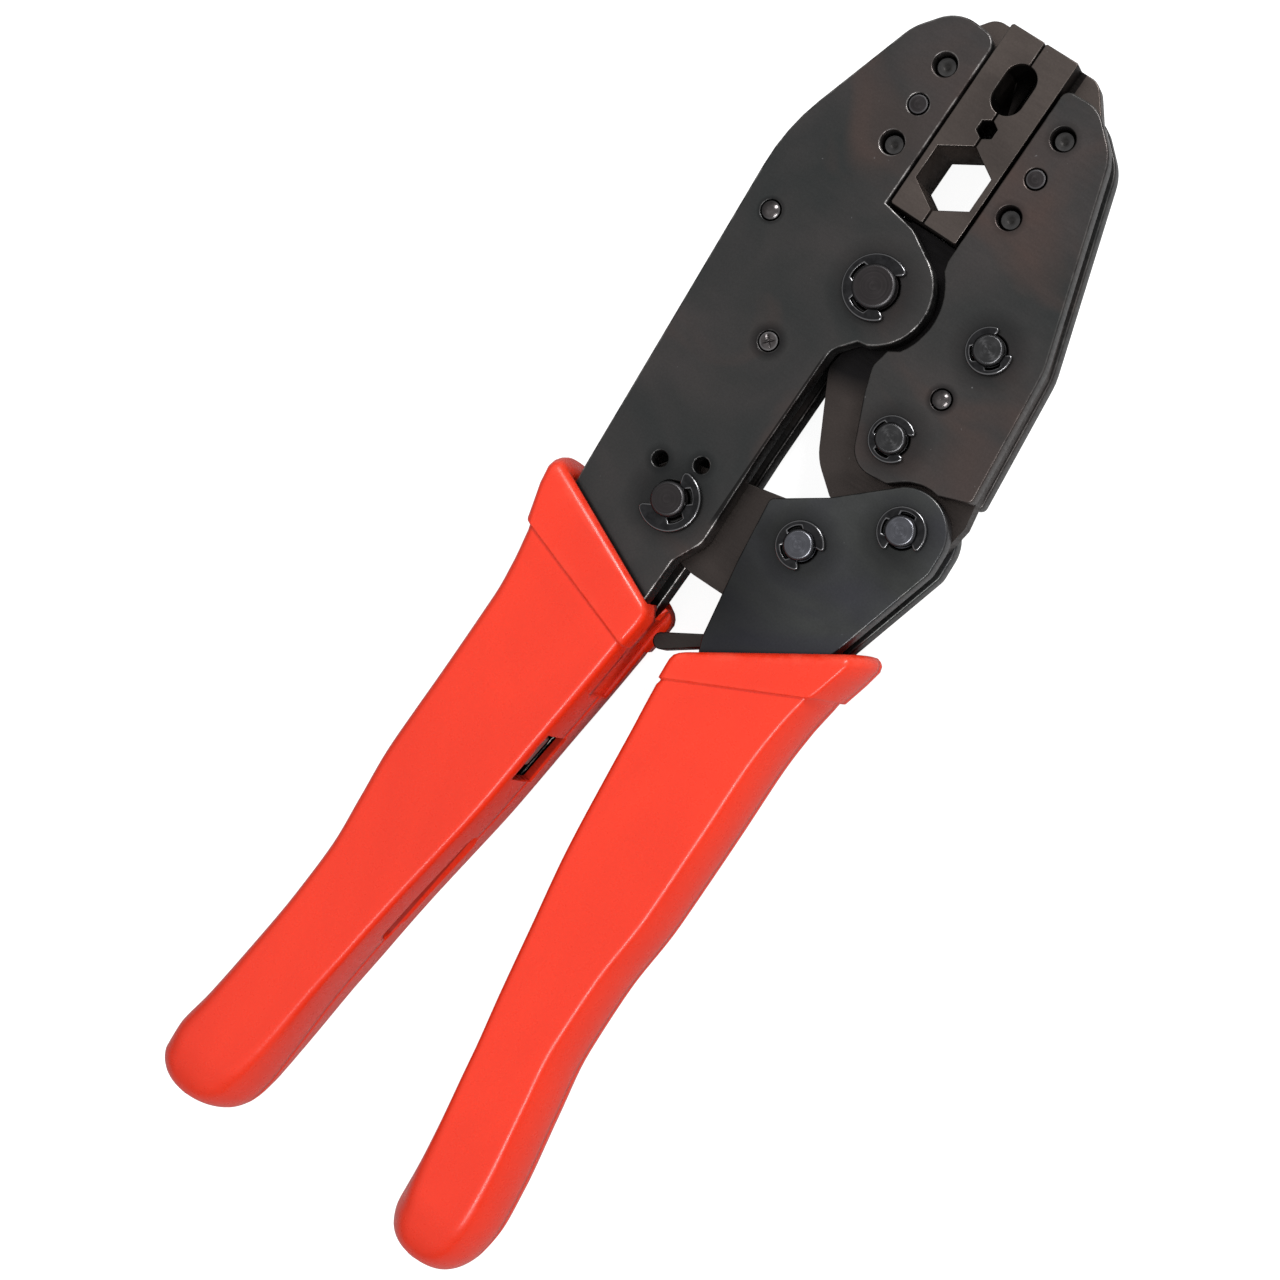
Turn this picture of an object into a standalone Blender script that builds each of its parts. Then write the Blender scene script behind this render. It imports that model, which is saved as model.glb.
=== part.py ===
"""Ratchet crimping tool for coaxial plugs, lying on its back.

Metres, +Z up. +Y runs along the tool towards the jaws, +X from the fixed side to the moving side.
The frame holds the fixed die. The moving jaw turns on the main pivot, the moving handle turns on
the jaw lever's lower end, and a toggle link ties the handle to the frame.
All plan positions below are in millimetres from the main pivot's axis, seen from the front.
"""

import math

import bmesh
import bpy
from mathutils import Vector

MM = 0.001

# The main pivot's place in the tool's own frame, whose origin is the middle of its footprint.
PIVOT_X = -3.3
PIVOT_Y = 68.2

# Heights of the layers.
GRIP_LOW = 0.0
GRIP_HIGH = 20.0
BACK_LOW = 3.0
BACK_HIGH = 7.4
MID_LOW = 7.7
MID_HIGH = 12.3
FRONT_LOW = 12.6
FRONT_HIGH = 17.0

# Joint axes in the rest pose.
MAIN = (0.0, 0.0)
ADJUSTER = (-8.8, -48.7)
HANDLE = (27.4, -30.8)
TOGGLE = (14.5, -42.3)
PAWL = (15.0, -68.0)

# Pins and rivets.
JAW_PIN_UPPER = (22.2, 1.7)
JAW_PIN_LOWER = (17.1, -19.2)
JAW_RIVET = (20.1, -9.2)
RIVET_UPPER = (-23.0, 1.1)
RIVET_LOWER = (-10.3, -17.3)
SPRING_HOOK = (-5.0, -54.5)
SPRING_TOP = (-5.2, -57.6)
SPRING_FOOT = (-12.0, -86.2)
SPRING_ANCHOR = (-12.5, -88.0)
HANDLE_RIVET_HIGH = (19.5, -90.0)
HANDLE_RIVET_LOW = (23.5, -132.0)
TANG_RIVET_HIGH = (-18.5, -80.0)
TANG_RIVET_LOW = (-15.5, -130.0)
LOCK_HOLE = (-14.5, -44.0)
SPARE_HOLE = (-7.7, -40.9)
PIN_R = 2.7
MAIN_PIN_R = 3.8
ADJUSTER_R = 3.1
RIVET_R = 1.7
SMALL_R = 1.3
PAWL_PIN_R = 1.5
FIT = 0.25
TOGGLE_PLAY = 0.9

# Dies.
DIE_MID = 0.3
DIE_HALF = 6.7
DIE_LOW = 13.1
DIE_HIGH = 48.5
SPLIT = 0.15
SEAT_X = 7.2
DIE_X = 12.0
SCREW_HIGH_Y = 36.9
SCREW_LOW_Y = 21.5
DOWEL_Y = 29.1
SCREW_R = 2.1
HEX_FLATS = 10.9
HEX_Y = 22.0
SMALL_HEX_FLATS = 3.1
SMALL_HEX_Y = 31.6
OVAL_Y = 39.4
OVAL_LONG = 9.2
OVAL_WIDE = 5.6

# Round shapes.
HOLE_SIDES = 16
TURN_SIDES = 16
ARC_STEP = 18.0

# Toggle link's ratchet.
TOOTH_ROOT = 15.0
TOOTH_TIP = 16.2
TOOTH_COUNT = 11
TOOTH_FROM = -76.0
TOOTH_PITCH = 4.6


def clear_scene():
    for obj in list(bpy.data.objects):
        bpy.data.objects.remove(obj, do_unlink=True)


def new_collection(name):
    collection = bpy.data.collections.new(name)
    bpy.context.scene.collection.children.link(collection)
    return collection


def make_material(name, colour, roughness, metallic):
    material = bpy.data.materials.new(name)
    material.use_nodes = True
    shader = material.node_tree.nodes["Principled BSDF"]
    shader.inputs["Base Color"].default_value = (*colour, 1.0)
    shader.inputs["Roughness"].default_value = roughness
    shader.inputs["Metallic"].default_value = metallic
    material.diffuse_color = (*colour, 1.0)
    return material


def black_oxide(name):
    return make_material(name, (0.045, 0.043, 0.043), 0.38, 0.85)


def brown_oxide(name):
    return make_material(name, (0.085, 0.068, 0.062), 0.42, 0.85)


def pin_steel(name):
    return make_material(name, (0.075, 0.075, 0.085), 0.3, 0.9)


def spring_steel(name):
    return make_material(name, (0.03, 0.03, 0.032), 0.3, 0.9)


def bright_steel(name):
    return make_material(name, (0.45, 0.45, 0.46), 0.3, 1.0)


def red_moulding(name):
    return make_material(name, (0.9, 0.06, 0.03), 0.4, 0.0)


def world(x, y, z=0.0):
    """A plan position from the main pivot, as a world position in metres."""
    return Vector(((x + PIVOT_X) * MM, (y + PIVOT_Y) * MM, z * MM))


def place(obj, collection, material, axis, z=0.0):
    obj.data.materials.append(material)
    obj.location = world(axis[0], axis[1], z)
    collection.objects.link(obj)
    return obj


def arc(centre, radius, start, end, step=ARC_STEP):
    """Points on a circle from one angle to another, in degrees, both ends included."""
    count = max(2, int(math.ceil(abs(end - start) / step)) + 1)
    points = []
    for i in range(count):
        angle = math.radians(start + (end - start) * i / (count - 1))
        points.append((centre[0] + radius * math.cos(angle), centre[1] + radius * math.sin(angle)))
    return points


def polar(centre, radius, angle):
    turn = math.radians(angle)
    return (centre[0] + radius * math.cos(turn), centre[1] + radius * math.sin(turn))


def circle(centre, radius, sides=HOLE_SIDES):
    return arc(centre, radius, 0.0, 360.0 - 360.0 / sides, 360.0 / sides + 1e-6)


def plain(points):
    """Points as unrounded corners."""
    return [(x, y, 0.0) for x, y in points]


def rounded(corners, step=ARC_STEP):
    """A closed outline through (x, y, radius) corners, each one rounded to its radius."""
    points = []
    count = len(corners)
    for i, (x, y, radius) in enumerate(corners):
        here = Vector((x, y))
        if radius <= 0.0:
            points.append((x, y))
            continue
        before = (Vector(corners[i - 1][:2]) - here).normalized()
        after = (Vector(corners[(i + 1) % count][:2]) - here).normalized()
        half = before.angle(after) / 2.0
        reach = radius / math.tan(half)
        middle = here + (before + after).normalized() * (radius / math.sin(half))
        start = here + before * reach - middle
        sweep = before.cross(after)
        turn = (180.0 - math.degrees(2.0 * half)) * (1.0 if sweep < 0.0 else -1.0)
        first = math.degrees(math.atan2(start.y, start.x))
        points.extend(arc(middle, radius, first, first + turn, step))
    return points


def hexagon(centre, flats, corner_angle):
    """A regular hexagon with one corner at the given angle."""
    radius = flats / math.sqrt(3.0)
    return arc(centre, radius, corner_angle, corner_angle + 300.0, 60.0)


def add_loop(curve, points, axis):
    spline = curve.splines.new("POLY")
    spline.points.add(len(points) - 1)
    for point, (x, y) in zip(spline.points, points):
        point.co = ((x - axis[0]) * MM, (y - axis[1]) * MM, 0.0, 1.0)
    spline.use_cyclic_u = True


def flat_curve(name, outline, holes, low, high, axis):
    """A flat piece of even thickness: an outline and its holes, filled and extruded."""
    curve = bpy.data.curves.new(name, "CURVE")
    curve.dimensions = "2D"
    curve.fill_mode = "BOTH"
    curve.extrude = (high - low) / 2.0 * MM
    add_loop(curve, outline, axis)
    for hole in holes:
        add_loop(curve, hole, axis)
    return bpy.data.objects.new(name, curve)


def plate(name, outline, holes, low, high, axis, material):
    obj = flat_curve(name, outline, holes, low, high, axis)
    return place(obj, parts, material, axis, (low + high) / 2.0)


def curve_to_mesh(obj, collection):
    """The same object as a mesh with its caps welded, so that Booleans can work on it."""
    bpy.context.view_layer.update()
    graph = bpy.context.evaluated_depsgraph_get()
    mesh = bpy.data.meshes.new_from_object(obj.evaluated_get(graph))
    name = obj.name
    built = bmesh.new()
    built.from_mesh(mesh)
    bmesh.ops.remove_doubles(built, verts=built.verts, dist=1e-6)
    bmesh.ops.recalc_face_normals(built, faces=built.faces)
    built.to_mesh(mesh)
    built.free()
    matrix = obj.matrix_world.copy()
    bpy.data.objects.remove(obj, do_unlink=True)
    solid = bpy.data.objects.new(name, mesh)
    solid.matrix_world = matrix
    collection.objects.link(solid)
    return solid


def flat_mesh(name, outline, low, high, axis, material, collection):
    obj = flat_curve(name, outline, [], low, high, axis)
    place(obj, collection, material, axis, (low + high) / 2.0)
    return curve_to_mesh(obj, collection)


def hide_helper(obj):
    obj.hide_render = True
    obj.display_type = "WIRE"
    return obj


def flat_cutter(name, outline, low, high):
    return hide_helper(flat_mesh(name, outline, low, high, MAIN, cutter_material, cutters))


def box_cutter(name, centre, size, turn, low, high):
    """An upright box in plan, turned about +Z, for cutting."""
    half_x = size[0] / 2.0
    half_y = size[1] / 2.0
    cos = math.cos(math.radians(turn))
    sin = math.sin(math.radians(turn))
    outline = []
    for x, y in ((-half_x, -half_y), (half_x, -half_y), (half_x, half_y), (-half_x, half_y)):
        outline.append((centre[0] + x * cos - y * sin, centre[1] + x * sin + y * cos))
    return flat_cutter(name, outline, low, high)


def boolean(obj, other, operation):
    modifier = obj.modifiers.new(operation.title() + "_" + other.name, "BOOLEAN")
    modifier.operation = operation
    modifier.object = other
    return modifier


def turned(name, profile, axis, material, sides=TURN_SIDES, turn=0.0):
    """A turned piece: its profile runs from the top of the axis down the outer side."""
    mesh = bpy.data.meshes.new(name)
    points = [(radius * MM, 0.0, height * MM) for radius, height in profile]
    edges = [(i, i + 1) for i in range(len(points) - 1)]
    mesh.from_pydata(points, edges, [])
    obj = bpy.data.objects.new(name, mesh)
    screw = obj.modifiers.new("Turn", "SCREW")
    screw.axis = "Z"
    screw.angle = math.radians(360.0)
    screw.steps = sides
    screw.render_steps = sides
    screw.use_merge_vertices = True
    screw.merge_threshold = 0.00001
    screw.use_smooth_shade = True
    place(obj, parts, material, axis)
    obj.rotation_euler = (0.0, 0.0, math.radians(turn))
    return obj


def retaining_ring(name, axis, outer, seat, facing):
    """An E ring that sits in a pin's groove, open towards one direction."""
    opening = 38.0
    pocket = seat + (outer - seat) * 0.42
    first = facing + opening
    last = facing + 360.0 - opening
    outline = arc(axis, outer, first, last, 18.0)
    lobes = 3
    span = (last - first) / lobes
    for i in range(lobes):
        start = last - span * i
        outline.extend(arc(axis, seat, start, start - span * 0.4, 16.0))
        if i < lobes - 1:
            outline.extend(arc(axis, pocket, start - span * 0.5, start - span * 0.9, 20.0))
    outline.extend(arc(axis, seat, last - span * 2.6, first, 16.0))
    low = FRONT_HIGH + 0.25
    high = FRONT_HIGH + 1.0
    return plate(name, outline, [], low, high, axis, spring_steel(name + "_steel"))


def frame_outline(lug=False):
    """The frame plate: die seat, pivot lobe, waist, and the tang inside the grip.

    The front plate has a lug that sits in the grip's window.
    """
    corners = [
        (DIE_MID - SEAT_X, 44.9, 2.6),
        (-15.2, 45.7, 7.0),
        (-20.5, 39.4, 9.5),
        (-29.2, 14.0, 36.0),
        (-24.9, -54.6, 0.0),
        (-22.3, -74.0, 0.0),
        (-22.2, -108.0, 0.0),
        (-20.8, -124.0, 0.0),
        (-21.4, -146.0, 2.0),
        (-13.6, -146.0, 2.0),
        (-9.9, -125.0, 0.0),
        (-5.7, -103.0, 0.0),
    ]
    if lug:
        corners += [(-5.5, -101.4, 0.0), (-4.5, -100.6, 0.0), (-3.8, -94.8, 0.0), (-4.7, -94.2, 0.0)]
    corners += [
        (-4.0, -88.0, 0.0),
        (-3.4, -76.0, 0.0),
        (-2.6, -68.0, 0.0),
        (-2.4, -56.8, 2.5),
        (0.2, -51.6, 4.0),
        (-0.3, -33.0, 0.0),
        (-0.3, -12.6, 3.0),
        (2.6, -9.1, 0.0),
    ]
    corners += plain(arc(MAIN, 9.8, -64.0, 66.0, 10.0))
    corners += [(-0.3, 11.4, 4.0), (DIE_MID - SEAT_X, DIE_LOW - 0.5, 0.0)]
    return rounded(corners)


def cheek_outline():
    """The moving jaw's plate: die seat, round tip, knee, and hollows round the two pivots."""
    corners = [
        (34.3, -20.6, 1.2),
        (31.6, 4.0, 12.0),
        (20.3, 38.6, 9.0),
        (14.0, 44.2, 5.5),
        (DIE_MID + SEAT_X, 44.0, 1.6),
        (DIE_MID + SEAT_X, 10.2, 0.0),
        (8.0, 8.4, 0.0),
    ]
    corners += plain(arc(MAIN, 11.5, 38.0, -34.0, 10.0))
    corners += [(7.7, -7.5, 0.0), (7.0, -11.0, 2.5), (8.6, -15.6, 5.0), (13.6, -26.6, 5.0)]
    corners += [(20.4, -25.8, 1.5)]
    corners += plain(arc(HANDLE, 8.3, 122.0, 80.0, 13.0))
    return rounded(corners)


def lever_outline():
    """The jaw lever: an eye on the main pivot, a broad web and an eye on the handle's pivot."""
    corners = plain(arc(MAIN, 9.4, 112.0, 262.0, 18.0))
    corners += [
        (0.3, -11.0, 0.0),
        (-0.3, -15.2, 3.0),
        (3.4, -22.0, 12.0),
        (7.2, -28.9, 10.0),
        (12.6, -33.0, 1.5),
        (22.0, -34.9, 0.0),
    ]
    corners += plain(arc(HANDLE, 6.5, -130.0, 0.0, 18.0))
    corners += [(34.8, -24.6, 1.0), (33.6, -18.0, 0.0), (31.2, 3.4, 1.0), (28.0, 12.5, 1.0)]
    corners += [(-3.0, 12.3, 0.0)]
    return rounded(corners)


def handle_outline():
    """The moving handle's plate: a round head on its pivot, and the tang inside the grip."""
    corners = plain(arc(HANDLE, 7.6, 5.0, 124.0, 14.0))
    corners += [
        (13.8, -33.0, 3.0),
        (5.4, -38.8, 1.2),
        (6.8, -50.0, 0.0),
        (9.3, -64.5, 0.0),
        (11.6, -70.0, 0.0),
        (12.2, -78.0, 0.0),
        (13.6, -92.0, 0.0),
        (15.4, -107.0, 0.0),
        (17.2, -120.0, 0.0),
        (21.0, -146.0, 2.0),
        (29.4, -146.0, 2.0),
        (26.8, -128.0, 0.0),
        (27.2, -108.0, 0.0),
        (27.0, -78.0, 0.0),
        (28.0, -60.0, 0.0),
        (35.2, -34.0, 4.0),
    ]
    return rounded(corners)


def toggle_outline():
    """The toggle link: an eye on the adjuster, an eye on the toggle pin, and ratchet teeth."""
    outline = arc(ADJUSTER, 7.5, 105.0, 262.0, 15.0)
    outline += [(-6.2, -56.6), (0.6, -57.2), (6.6, -57.0)]
    outline += arc(TOGGLE, TOOTH_ROOT + 0.6, -112.0, TOOTH_FROM - 4.0, 9.0)
    for i in range(TOOTH_COUNT):
        start = TOOTH_FROM + i * TOOTH_PITCH
        outline.append(polar(TOGGLE, TOOTH_TIP, start))
        outline.append(polar(TOGGLE, TOOTH_ROOT, start + TOOTH_PITCH * 0.75))
    outline += arc(TOGGLE, 6.6, -12.0, 100.0, 14.0)
    return outline


def pawl_outline():
    """The pawl: an eye on its pin, one tooth towards the link, and the long release arm."""
    corners = plain(arc(PAWL, 3.1, -150.0, 10.0, 20.0))
    corners += [
        (20.6, -61.8, 0.0),
        (20.7, -58.9, 0.0),
        (18.0, -61.8, 0.0),
        (12.6, -61.6, 2.0),
        (8.6, -64.0, 0.0),
    ]
    corners += plain(arc((2.5, -69.6), 1.5, 125.0, 300.0, 25.0))
    corners += [(9.0, -66.6, 0.0), (11.6, -65.4, 0.0)]
    return rounded(corners)


def wheel_outline():
    """The adjuster wheel: a disc with round notches in its rim, one of them at the lock screw."""
    outline = []
    notches = 10
    first = math.degrees(math.atan2(LOCK_HOLE[1] - ADJUSTER[1], LOCK_HOLE[0] - ADJUSTER[0]))
    for i in range(notches):
        middle = first + 360.0 / notches * i
        outline.append(polar(ADJUSTER, 7.4, middle - 14.5))
        outline.append(polar(ADJUSTER, 5.7, middle - 8.0))
        outline.append(polar(ADJUSTER, 5.35, middle))
        outline.append(polar(ADJUSTER, 5.7, middle + 8.0))
        outline.append(polar(ADJUSTER, 7.4, middle + 14.5))
    return outline


def ring_of(section_left, section_right, low, high, radius_left, radius_right):
    """A rounded rectangle standing on the line between two plan points, as (x, y, z) points."""
    left = Vector(section_left)
    right = Vector(section_right)
    width = (right - left).length
    corners = (
        (width - radius_right, high - radius_right, radius_right, 0.0),
        (radius_left, high - radius_left, radius_left, 90.0),
        (radius_left, low + radius_left, radius_left, 180.0),
        (width - radius_right, low + radius_right, radius_right, 270.0),
    )
    ring = []
    for across, height, radius, start in corners:
        for x, z in arc((across, height), radius, start, start + 90.0, 30.0):
            plan = left.lerp(right, x / width)
            ring.append((plan.x, plan.y, z))
    return ring


def make_grip(name, stations, pocket, palm_left, axis):
    """A moulded sleeve: a skin lofted over its stations, and a blind pocket open at the collar.

    Each station is (left point, right point, how far both faces sit in from full thickness).
    The palm side has rounder edges than the inner side.
    """
    built = bmesh.new()
    rings = []
    for left, right in reversed(pocket):
        rings.append(ring_of(left, right, BACK_LOW - 0.35, FRONT_HIGH + 0.35, 0.5, 0.5))
    for left, right, inset in stations:
        low = GRIP_LOW + inset
        high = GRIP_HIGH - inset
        limit = min((Vector(right) - Vector(left)).length, high - low) * 0.48
        palm = min(5.0, limit)
        inner = min(2.4, limit)
        radii = (palm, inner) if palm_left else (inner, palm)
        rings.append(ring_of(left, right, low, high, *radii))
    origin = world(axis[0], axis[1])
    loops = []
    for ring in rings:
        loops.append([built.verts.new(world(x, y, z) - origin) for x, y, z in ring])
    for upper, lower in zip(loops, loops[1:]):
        for i in range(len(upper)):
            j = (i + 1) % len(upper)
            built.faces.new((upper[i], upper[j], lower[j], lower[i]))
    built.faces.new(loops[0])
    built.faces.new(loops[-1])
    bmesh.ops.recalc_face_normals(built, faces=built.faces)
    mesh = bpy.data.meshes.new(name)
    built.to_mesh(mesh)
    built.free()
    obj = bpy.data.objects.new(name, mesh)
    return place(obj, parts, red_moulding(name + "_moulding"), axis)


def coil_spring(name, start, end, tails, radius, wire, turns, axis):
    """A coil between two plan points, with straight ends along its own axis."""
    height = (MID_LOW + MID_HIGH) / 2.0
    first = Vector((start[0], start[1], height))
    last = Vector((end[0], end[1], height))
    along = (last - first).normalized()
    up = Vector((0.0, 0.0, 1.0))
    side = up.cross(along)
    coil = (last - first).length - tails[0] - tails[1]
    points = [first] if tails[0] > 0.0 else []
    steps = turns * 8
    for i in range(steps + 1):
        angle = 2.0 * math.pi * i / 8.0
        offset = side * math.cos(angle) * radius + up * math.sin(angle) * radius
        points.append(first + along * (tails[0] + coil * i / steps) + offset)
    if tails[1] > 0.0:
        points.append(last)
    curve = bpy.data.curves.new(name, "CURVE")
    curve.dimensions = "3D"
    curve.bevel_depth = wire / 2.0 * MM
    curve.bevel_resolution = 2
    curve.use_fill_caps = True
    spline = curve.splines.new("POLY")
    spline.points.add(len(points) - 1)
    for point, spot in zip(spline.points, points):
        point.co = ((spot.x - axis[0]) * MM, (spot.y - axis[1]) * MM, spot.z * MM, 1.0)
    obj = bpy.data.objects.new(name, curve)
    return place(obj, parts, spring_steel(name + "_wire"), axis)


def pin_and_ring(name, axis, radius, ring_radius, facing):
    """A headed pin through all the layers, and the E ring that keeps it, on the front."""
    top = FRONT_HIGH
    groove = radius - 0.6
    profile = [
        (0.0, top + 2.2),
        (radius - 0.4, top + 2.2),
        (radius, top + 1.8),
        (radius, top + 1.1),
        (groove, top + 1.1),
        (groove, top + 0.15),
        (radius, top + 0.15),
        (radius, BACK_LOW - 0.3),
        (radius + 1.2, BACK_LOW - 0.3),
        (radius + 1.2, BACK_LOW - 1.7),
        (radius + 0.9, BACK_LOW - 2.0),
        (0.0, BACK_LOW - 2.0),
    ]
    pin = turned(name, profile, axis, pin_steel(name + "_steel"))
    ring = retaining_ring(name + "_ring", axis, ring_radius, groove + 0.15, facing)
    return [pin, ring]


def flush_pin(name, axis, radius, low, high, dome, material):
    """A plain pin or rivet with slightly domed ends."""
    profile = [
        (0.0, high + dome),
        (radius * 0.65, high + dome * 0.7),
        (radius, high),
        (radius, low),
        (radius * 0.65, low - dome * 0.7),
        (0.0, low - dome),
    ]
    return turned(name, profile, axis, material, 12)


def die_screw(name, axis):
    """A screw from the back: a low round head, and a shank that ends sunk in the front hole."""
    profile = [
        (0.0, FRONT_HIGH - 1.8),
        (SCREW_R - 0.6, FRONT_HIGH - 1.8),
        (SCREW_R - 0.25, FRONT_HIGH - 2.2),
        (SCREW_R - 0.25, BACK_LOW - 0.3),
        (3.5, BACK_LOW - 0.3),
        (3.5, BACK_LOW - 1.5),
        (2.9, BACK_LOW - 2.0),
        (0.0, BACK_LOW - 2.0),
    ]
    return turned(name, profile, axis, pin_steel(name + "_steel"), 12)


def make_die(name, side, axis):
    """One die half: a full-thickness block, a tongue between the plates, and its half nests."""
    block = rounded(
        [
            (DIE_MID + side * SPLIT, DIE_LOW, 0.3),
            (DIE_MID + side * SPLIT, DIE_HIGH, 0.3),
            (DIE_MID + side * DIE_HALF, DIE_HIGH, 0.3),
            (DIE_MID + side * DIE_HALF, DIE_LOW, 0.3),
        ],
        45.0,
    )
    die = flat_mesh(name, block, BACK_LOW, FRONT_HIGH, axis, brown_oxide(name + "_oxide"), parts)
    tongue = rounded(
        [
            (side * 6.0, 14.2, 0.0),
            (side * 16.8, 14.2, 1.0),
            (side * 16.8, 40.4, 3.0),
            (side * 10.4, 48.4, 3.2),
            (side * 6.0, 48.4, 0.0),
        ],
        20.0,
    )
    boolean(die, flat_cutter(name + "_tongue", tongue, MID_LOW, MID_HIGH), "UNION")
    for nest in nests:
        boolean(die, nest, "DIFFERENCE")
    holes = (
        ("high_screw", SCREW_HIGH_Y, SCREW_R),
        ("low_screw", SCREW_LOW_Y, SCREW_R),
        ("dowel", DOWEL_Y, RIVET_R + 0.15),
    )
    for hole, y, radius in holes:
        outline = circle((side * DIE_X, y), radius, 12)
        cutter = flat_cutter(name + "_" + hole + "_hole", outline, 5.0, 15.0)
        boolean(die, cutter, "DIFFERENCE")
    return die


def join_body(name, axis, pieces):
    """Hangs the pieces of one rigid body on an empty that stands on its joint's axis."""
    empty = bpy.data.objects.new(name, None)
    empty.location = world(axis[0], axis[1])
    empty.empty_display_size = 0.01
    parts.objects.link(empty)
    for piece in pieces:
        piece.parent = empty
        piece.location = piece.location - empty.location


clear_scene()
parts = new_collection("coax_crimping_tool")
cutters = new_collection("cutters")
cutter_material = make_material("cutter", (0.2, 0.6, 0.9), 0.5, 0.0)

# Both ends of the pins that lie flush with the plates.
flush = (BACK_LOW + 0.1, FRONT_HIGH - 0.1)

# The nests that the two dies share.
oval_half = OVAL_WIDE / 2.0
oval_reach = (OVAL_LONG - OVAL_WIDE) / 2.0
oval = arc((DIE_MID, OVAL_Y + oval_reach), oval_half, 0.0, 180.0)
oval += arc((DIE_MID, OVAL_Y - oval_reach), oval_half, 180.0, 360.0)
slot = arc((DIE_MID, OVAL_Y + 2.0), 1.2, 0.0, 180.0, 30.0)
slot += arc((DIE_MID, OVAL_Y - 2.0), 1.2, 180.0, 360.0, 30.0)
nests = [
    flat_cutter("large_hex_nest", hexagon((DIE_MID, HEX_Y), HEX_FLATS, 90.0), 0.0, 20.0),
    flat_cutter("small_hex_nest", hexagon((DIE_MID, SMALL_HEX_Y), SMALL_HEX_FLATS, 90.0), 0.0, 20.0),
    flat_cutter("oval_nest", oval, 8.4, 20.0),
    flat_cutter("oval_nest_throat", slot, 0.0, 9.0),
]

# Frame.
seat_holes = []
for hole_y, hole_r in ((SCREW_HIGH_Y, SCREW_R), (SCREW_LOW_Y, SCREW_R), (DOWEL_Y, RIVET_R + 0.15)):
    seat_holes.append((hole_y, hole_r))
frame_holes = [
    circle(MAIN, MAIN_PIN_R + FIT),
    circle(ADJUSTER, ADJUSTER_R + FIT),
    circle(RIVET_UPPER, RIVET_R + FIT, 12),
    circle(RIVET_LOWER, RIVET_R + FIT, 12),
    circle(LOCK_HOLE, SMALL_R + 0.1, 10),
    circle(SPARE_HOLE, SMALL_R + 0.1, 10),
    circle(TANG_RIVET_HIGH, RIVET_R + FIT, 10),
    circle(TANG_RIVET_LOW, RIVET_R + FIT, 10),
    circle(SPRING_ANCHOR, 1.5, 8),
]
frame_holes += [circle((-DIE_X, y), radius, 12) for y, radius in seat_holes]
frame = [
    plate(
        "frame_front_plate", frame_outline(lug=True), frame_holes, FRONT_LOW, FRONT_HIGH, MAIN,
        black_oxide("frame_front_oxide"),
    ),
    plate(
        "frame_back_plate", frame_outline(), frame_holes, BACK_LOW, BACK_HIGH, MAIN,
        black_oxide("frame_back_oxide"),
    ),
]
upper_spacer = rounded(
    [
        (-26.4, 9.0, 2.0),
        (-27.0, 0.0, 2.0),
        (-25.0, -34.0, 2.0),
        (-19.5, -34.0, 2.0),
        (-17.5, -12.0, 4.0),
        (-13.5, 2.0, 4.0),
        (-16.0, 11.0, 1.5),
    ],
    30.0,
)
frame.append(
    plate(
        "frame_upper_spacer", upper_spacer, [circle(RIVET_UPPER, RIVET_R + FIT, 12)],
        MID_LOW, MID_HIGH, MAIN, brown_oxide("upper_spacer_oxide"),
    )
)
tang_spacer = rounded(
    [
        (-21.6, -70.0, 1.5),
        (-21.4, -108.0, 0.0),
        (-20.0, -124.0, 0.0),
        (-20.6, -143.0, 1.5),
        (-14.2, -143.0, 1.5),
        (-11.4, -125.0, 0.0),
        (-9.0, -108.0, 0.0),
        (-8.2, -96.0, 1.5),
        (-15.6, -94.0, 1.5),
        (-15.6, -70.0, 1.5),
    ],
    30.0,
)
frame.append(
    plate(
        "frame_tang_spacer", tang_spacer,
        [circle(TANG_RIVET_HIGH, RIVET_R + FIT, 10), circle(TANG_RIVET_LOW, RIVET_R + FIT, 10)],
        MID_LOW, MID_HIGH, MAIN, bright_steel("tang_spacer_steel"),
    )
)
fixed_stations = [
    ((-30.2, -53.5), (-0.4, -66.1), 1.6),
    ((-31.3, -56.0), (0.6, -68.0), 0.0),
    ((-28.9, -64.9), (-0.3, -73.6), 0.0),
    ((-27.6, -66.8), (-0.6, -74.7), 0.4),
    ((-26.5, -80.0), (-1.5, -84.0), 0.5),
    ((-26.6, -94.0), (-2.6, -94.0), 0.6),
    ((-26.9, -111.0), (-4.4, -111.0), 0.7),
    ((-26.2, -122.0), (-6.1, -122.5), 0.7),
    ((-25.5, -132.0), (-7.7, -133.0), 0.5),
    ((-26.0, -143.0), (-9.1, -144.0), 0.2),
    ((-27.4, -156.0), (-10.3, -156.0), 0.0),
    ((-29.0, -167.5), (-10.9, -167.5), 0.0),
    ((-30.4, -175.0), (-11.3, -174.0), 0.0),
    ((-30.4, -179.5), (-12.2, -179.0), 0.8),
    ((-28.9, -182.9), (-14.4, -182.8), 2.4),
    ((-25.8, -184.9), (-17.8, -184.9), 5.2),
]
fixed_pocket = [
    ((-25.6, -56.1), (-1.7, -65.9)),
    ((-24.0, -68.0), (-1.9, -69.4)),
    ((-22.9, -76.0), (-2.9, -77.5)),
    ((-22.7, -90.0), (-3.6, -89.0)),
    ((-22.6, -104.0), (-5.3, -103.0)),
    ((-21.3, -124.0), (-9.4, -125.0)),
    ((-21.9, -147.0), (-13.0, -147.0)),
]
fixed_grip = make_grip("fixed_grip", fixed_stations, fixed_pocket, True, MAIN)
boolean(fixed_grip, box_cutter("fixed_recess", (1.54, -72.1), (6.0, 24.3), -5.0, 5.5, 14.5), "DIFFERENCE")
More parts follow.
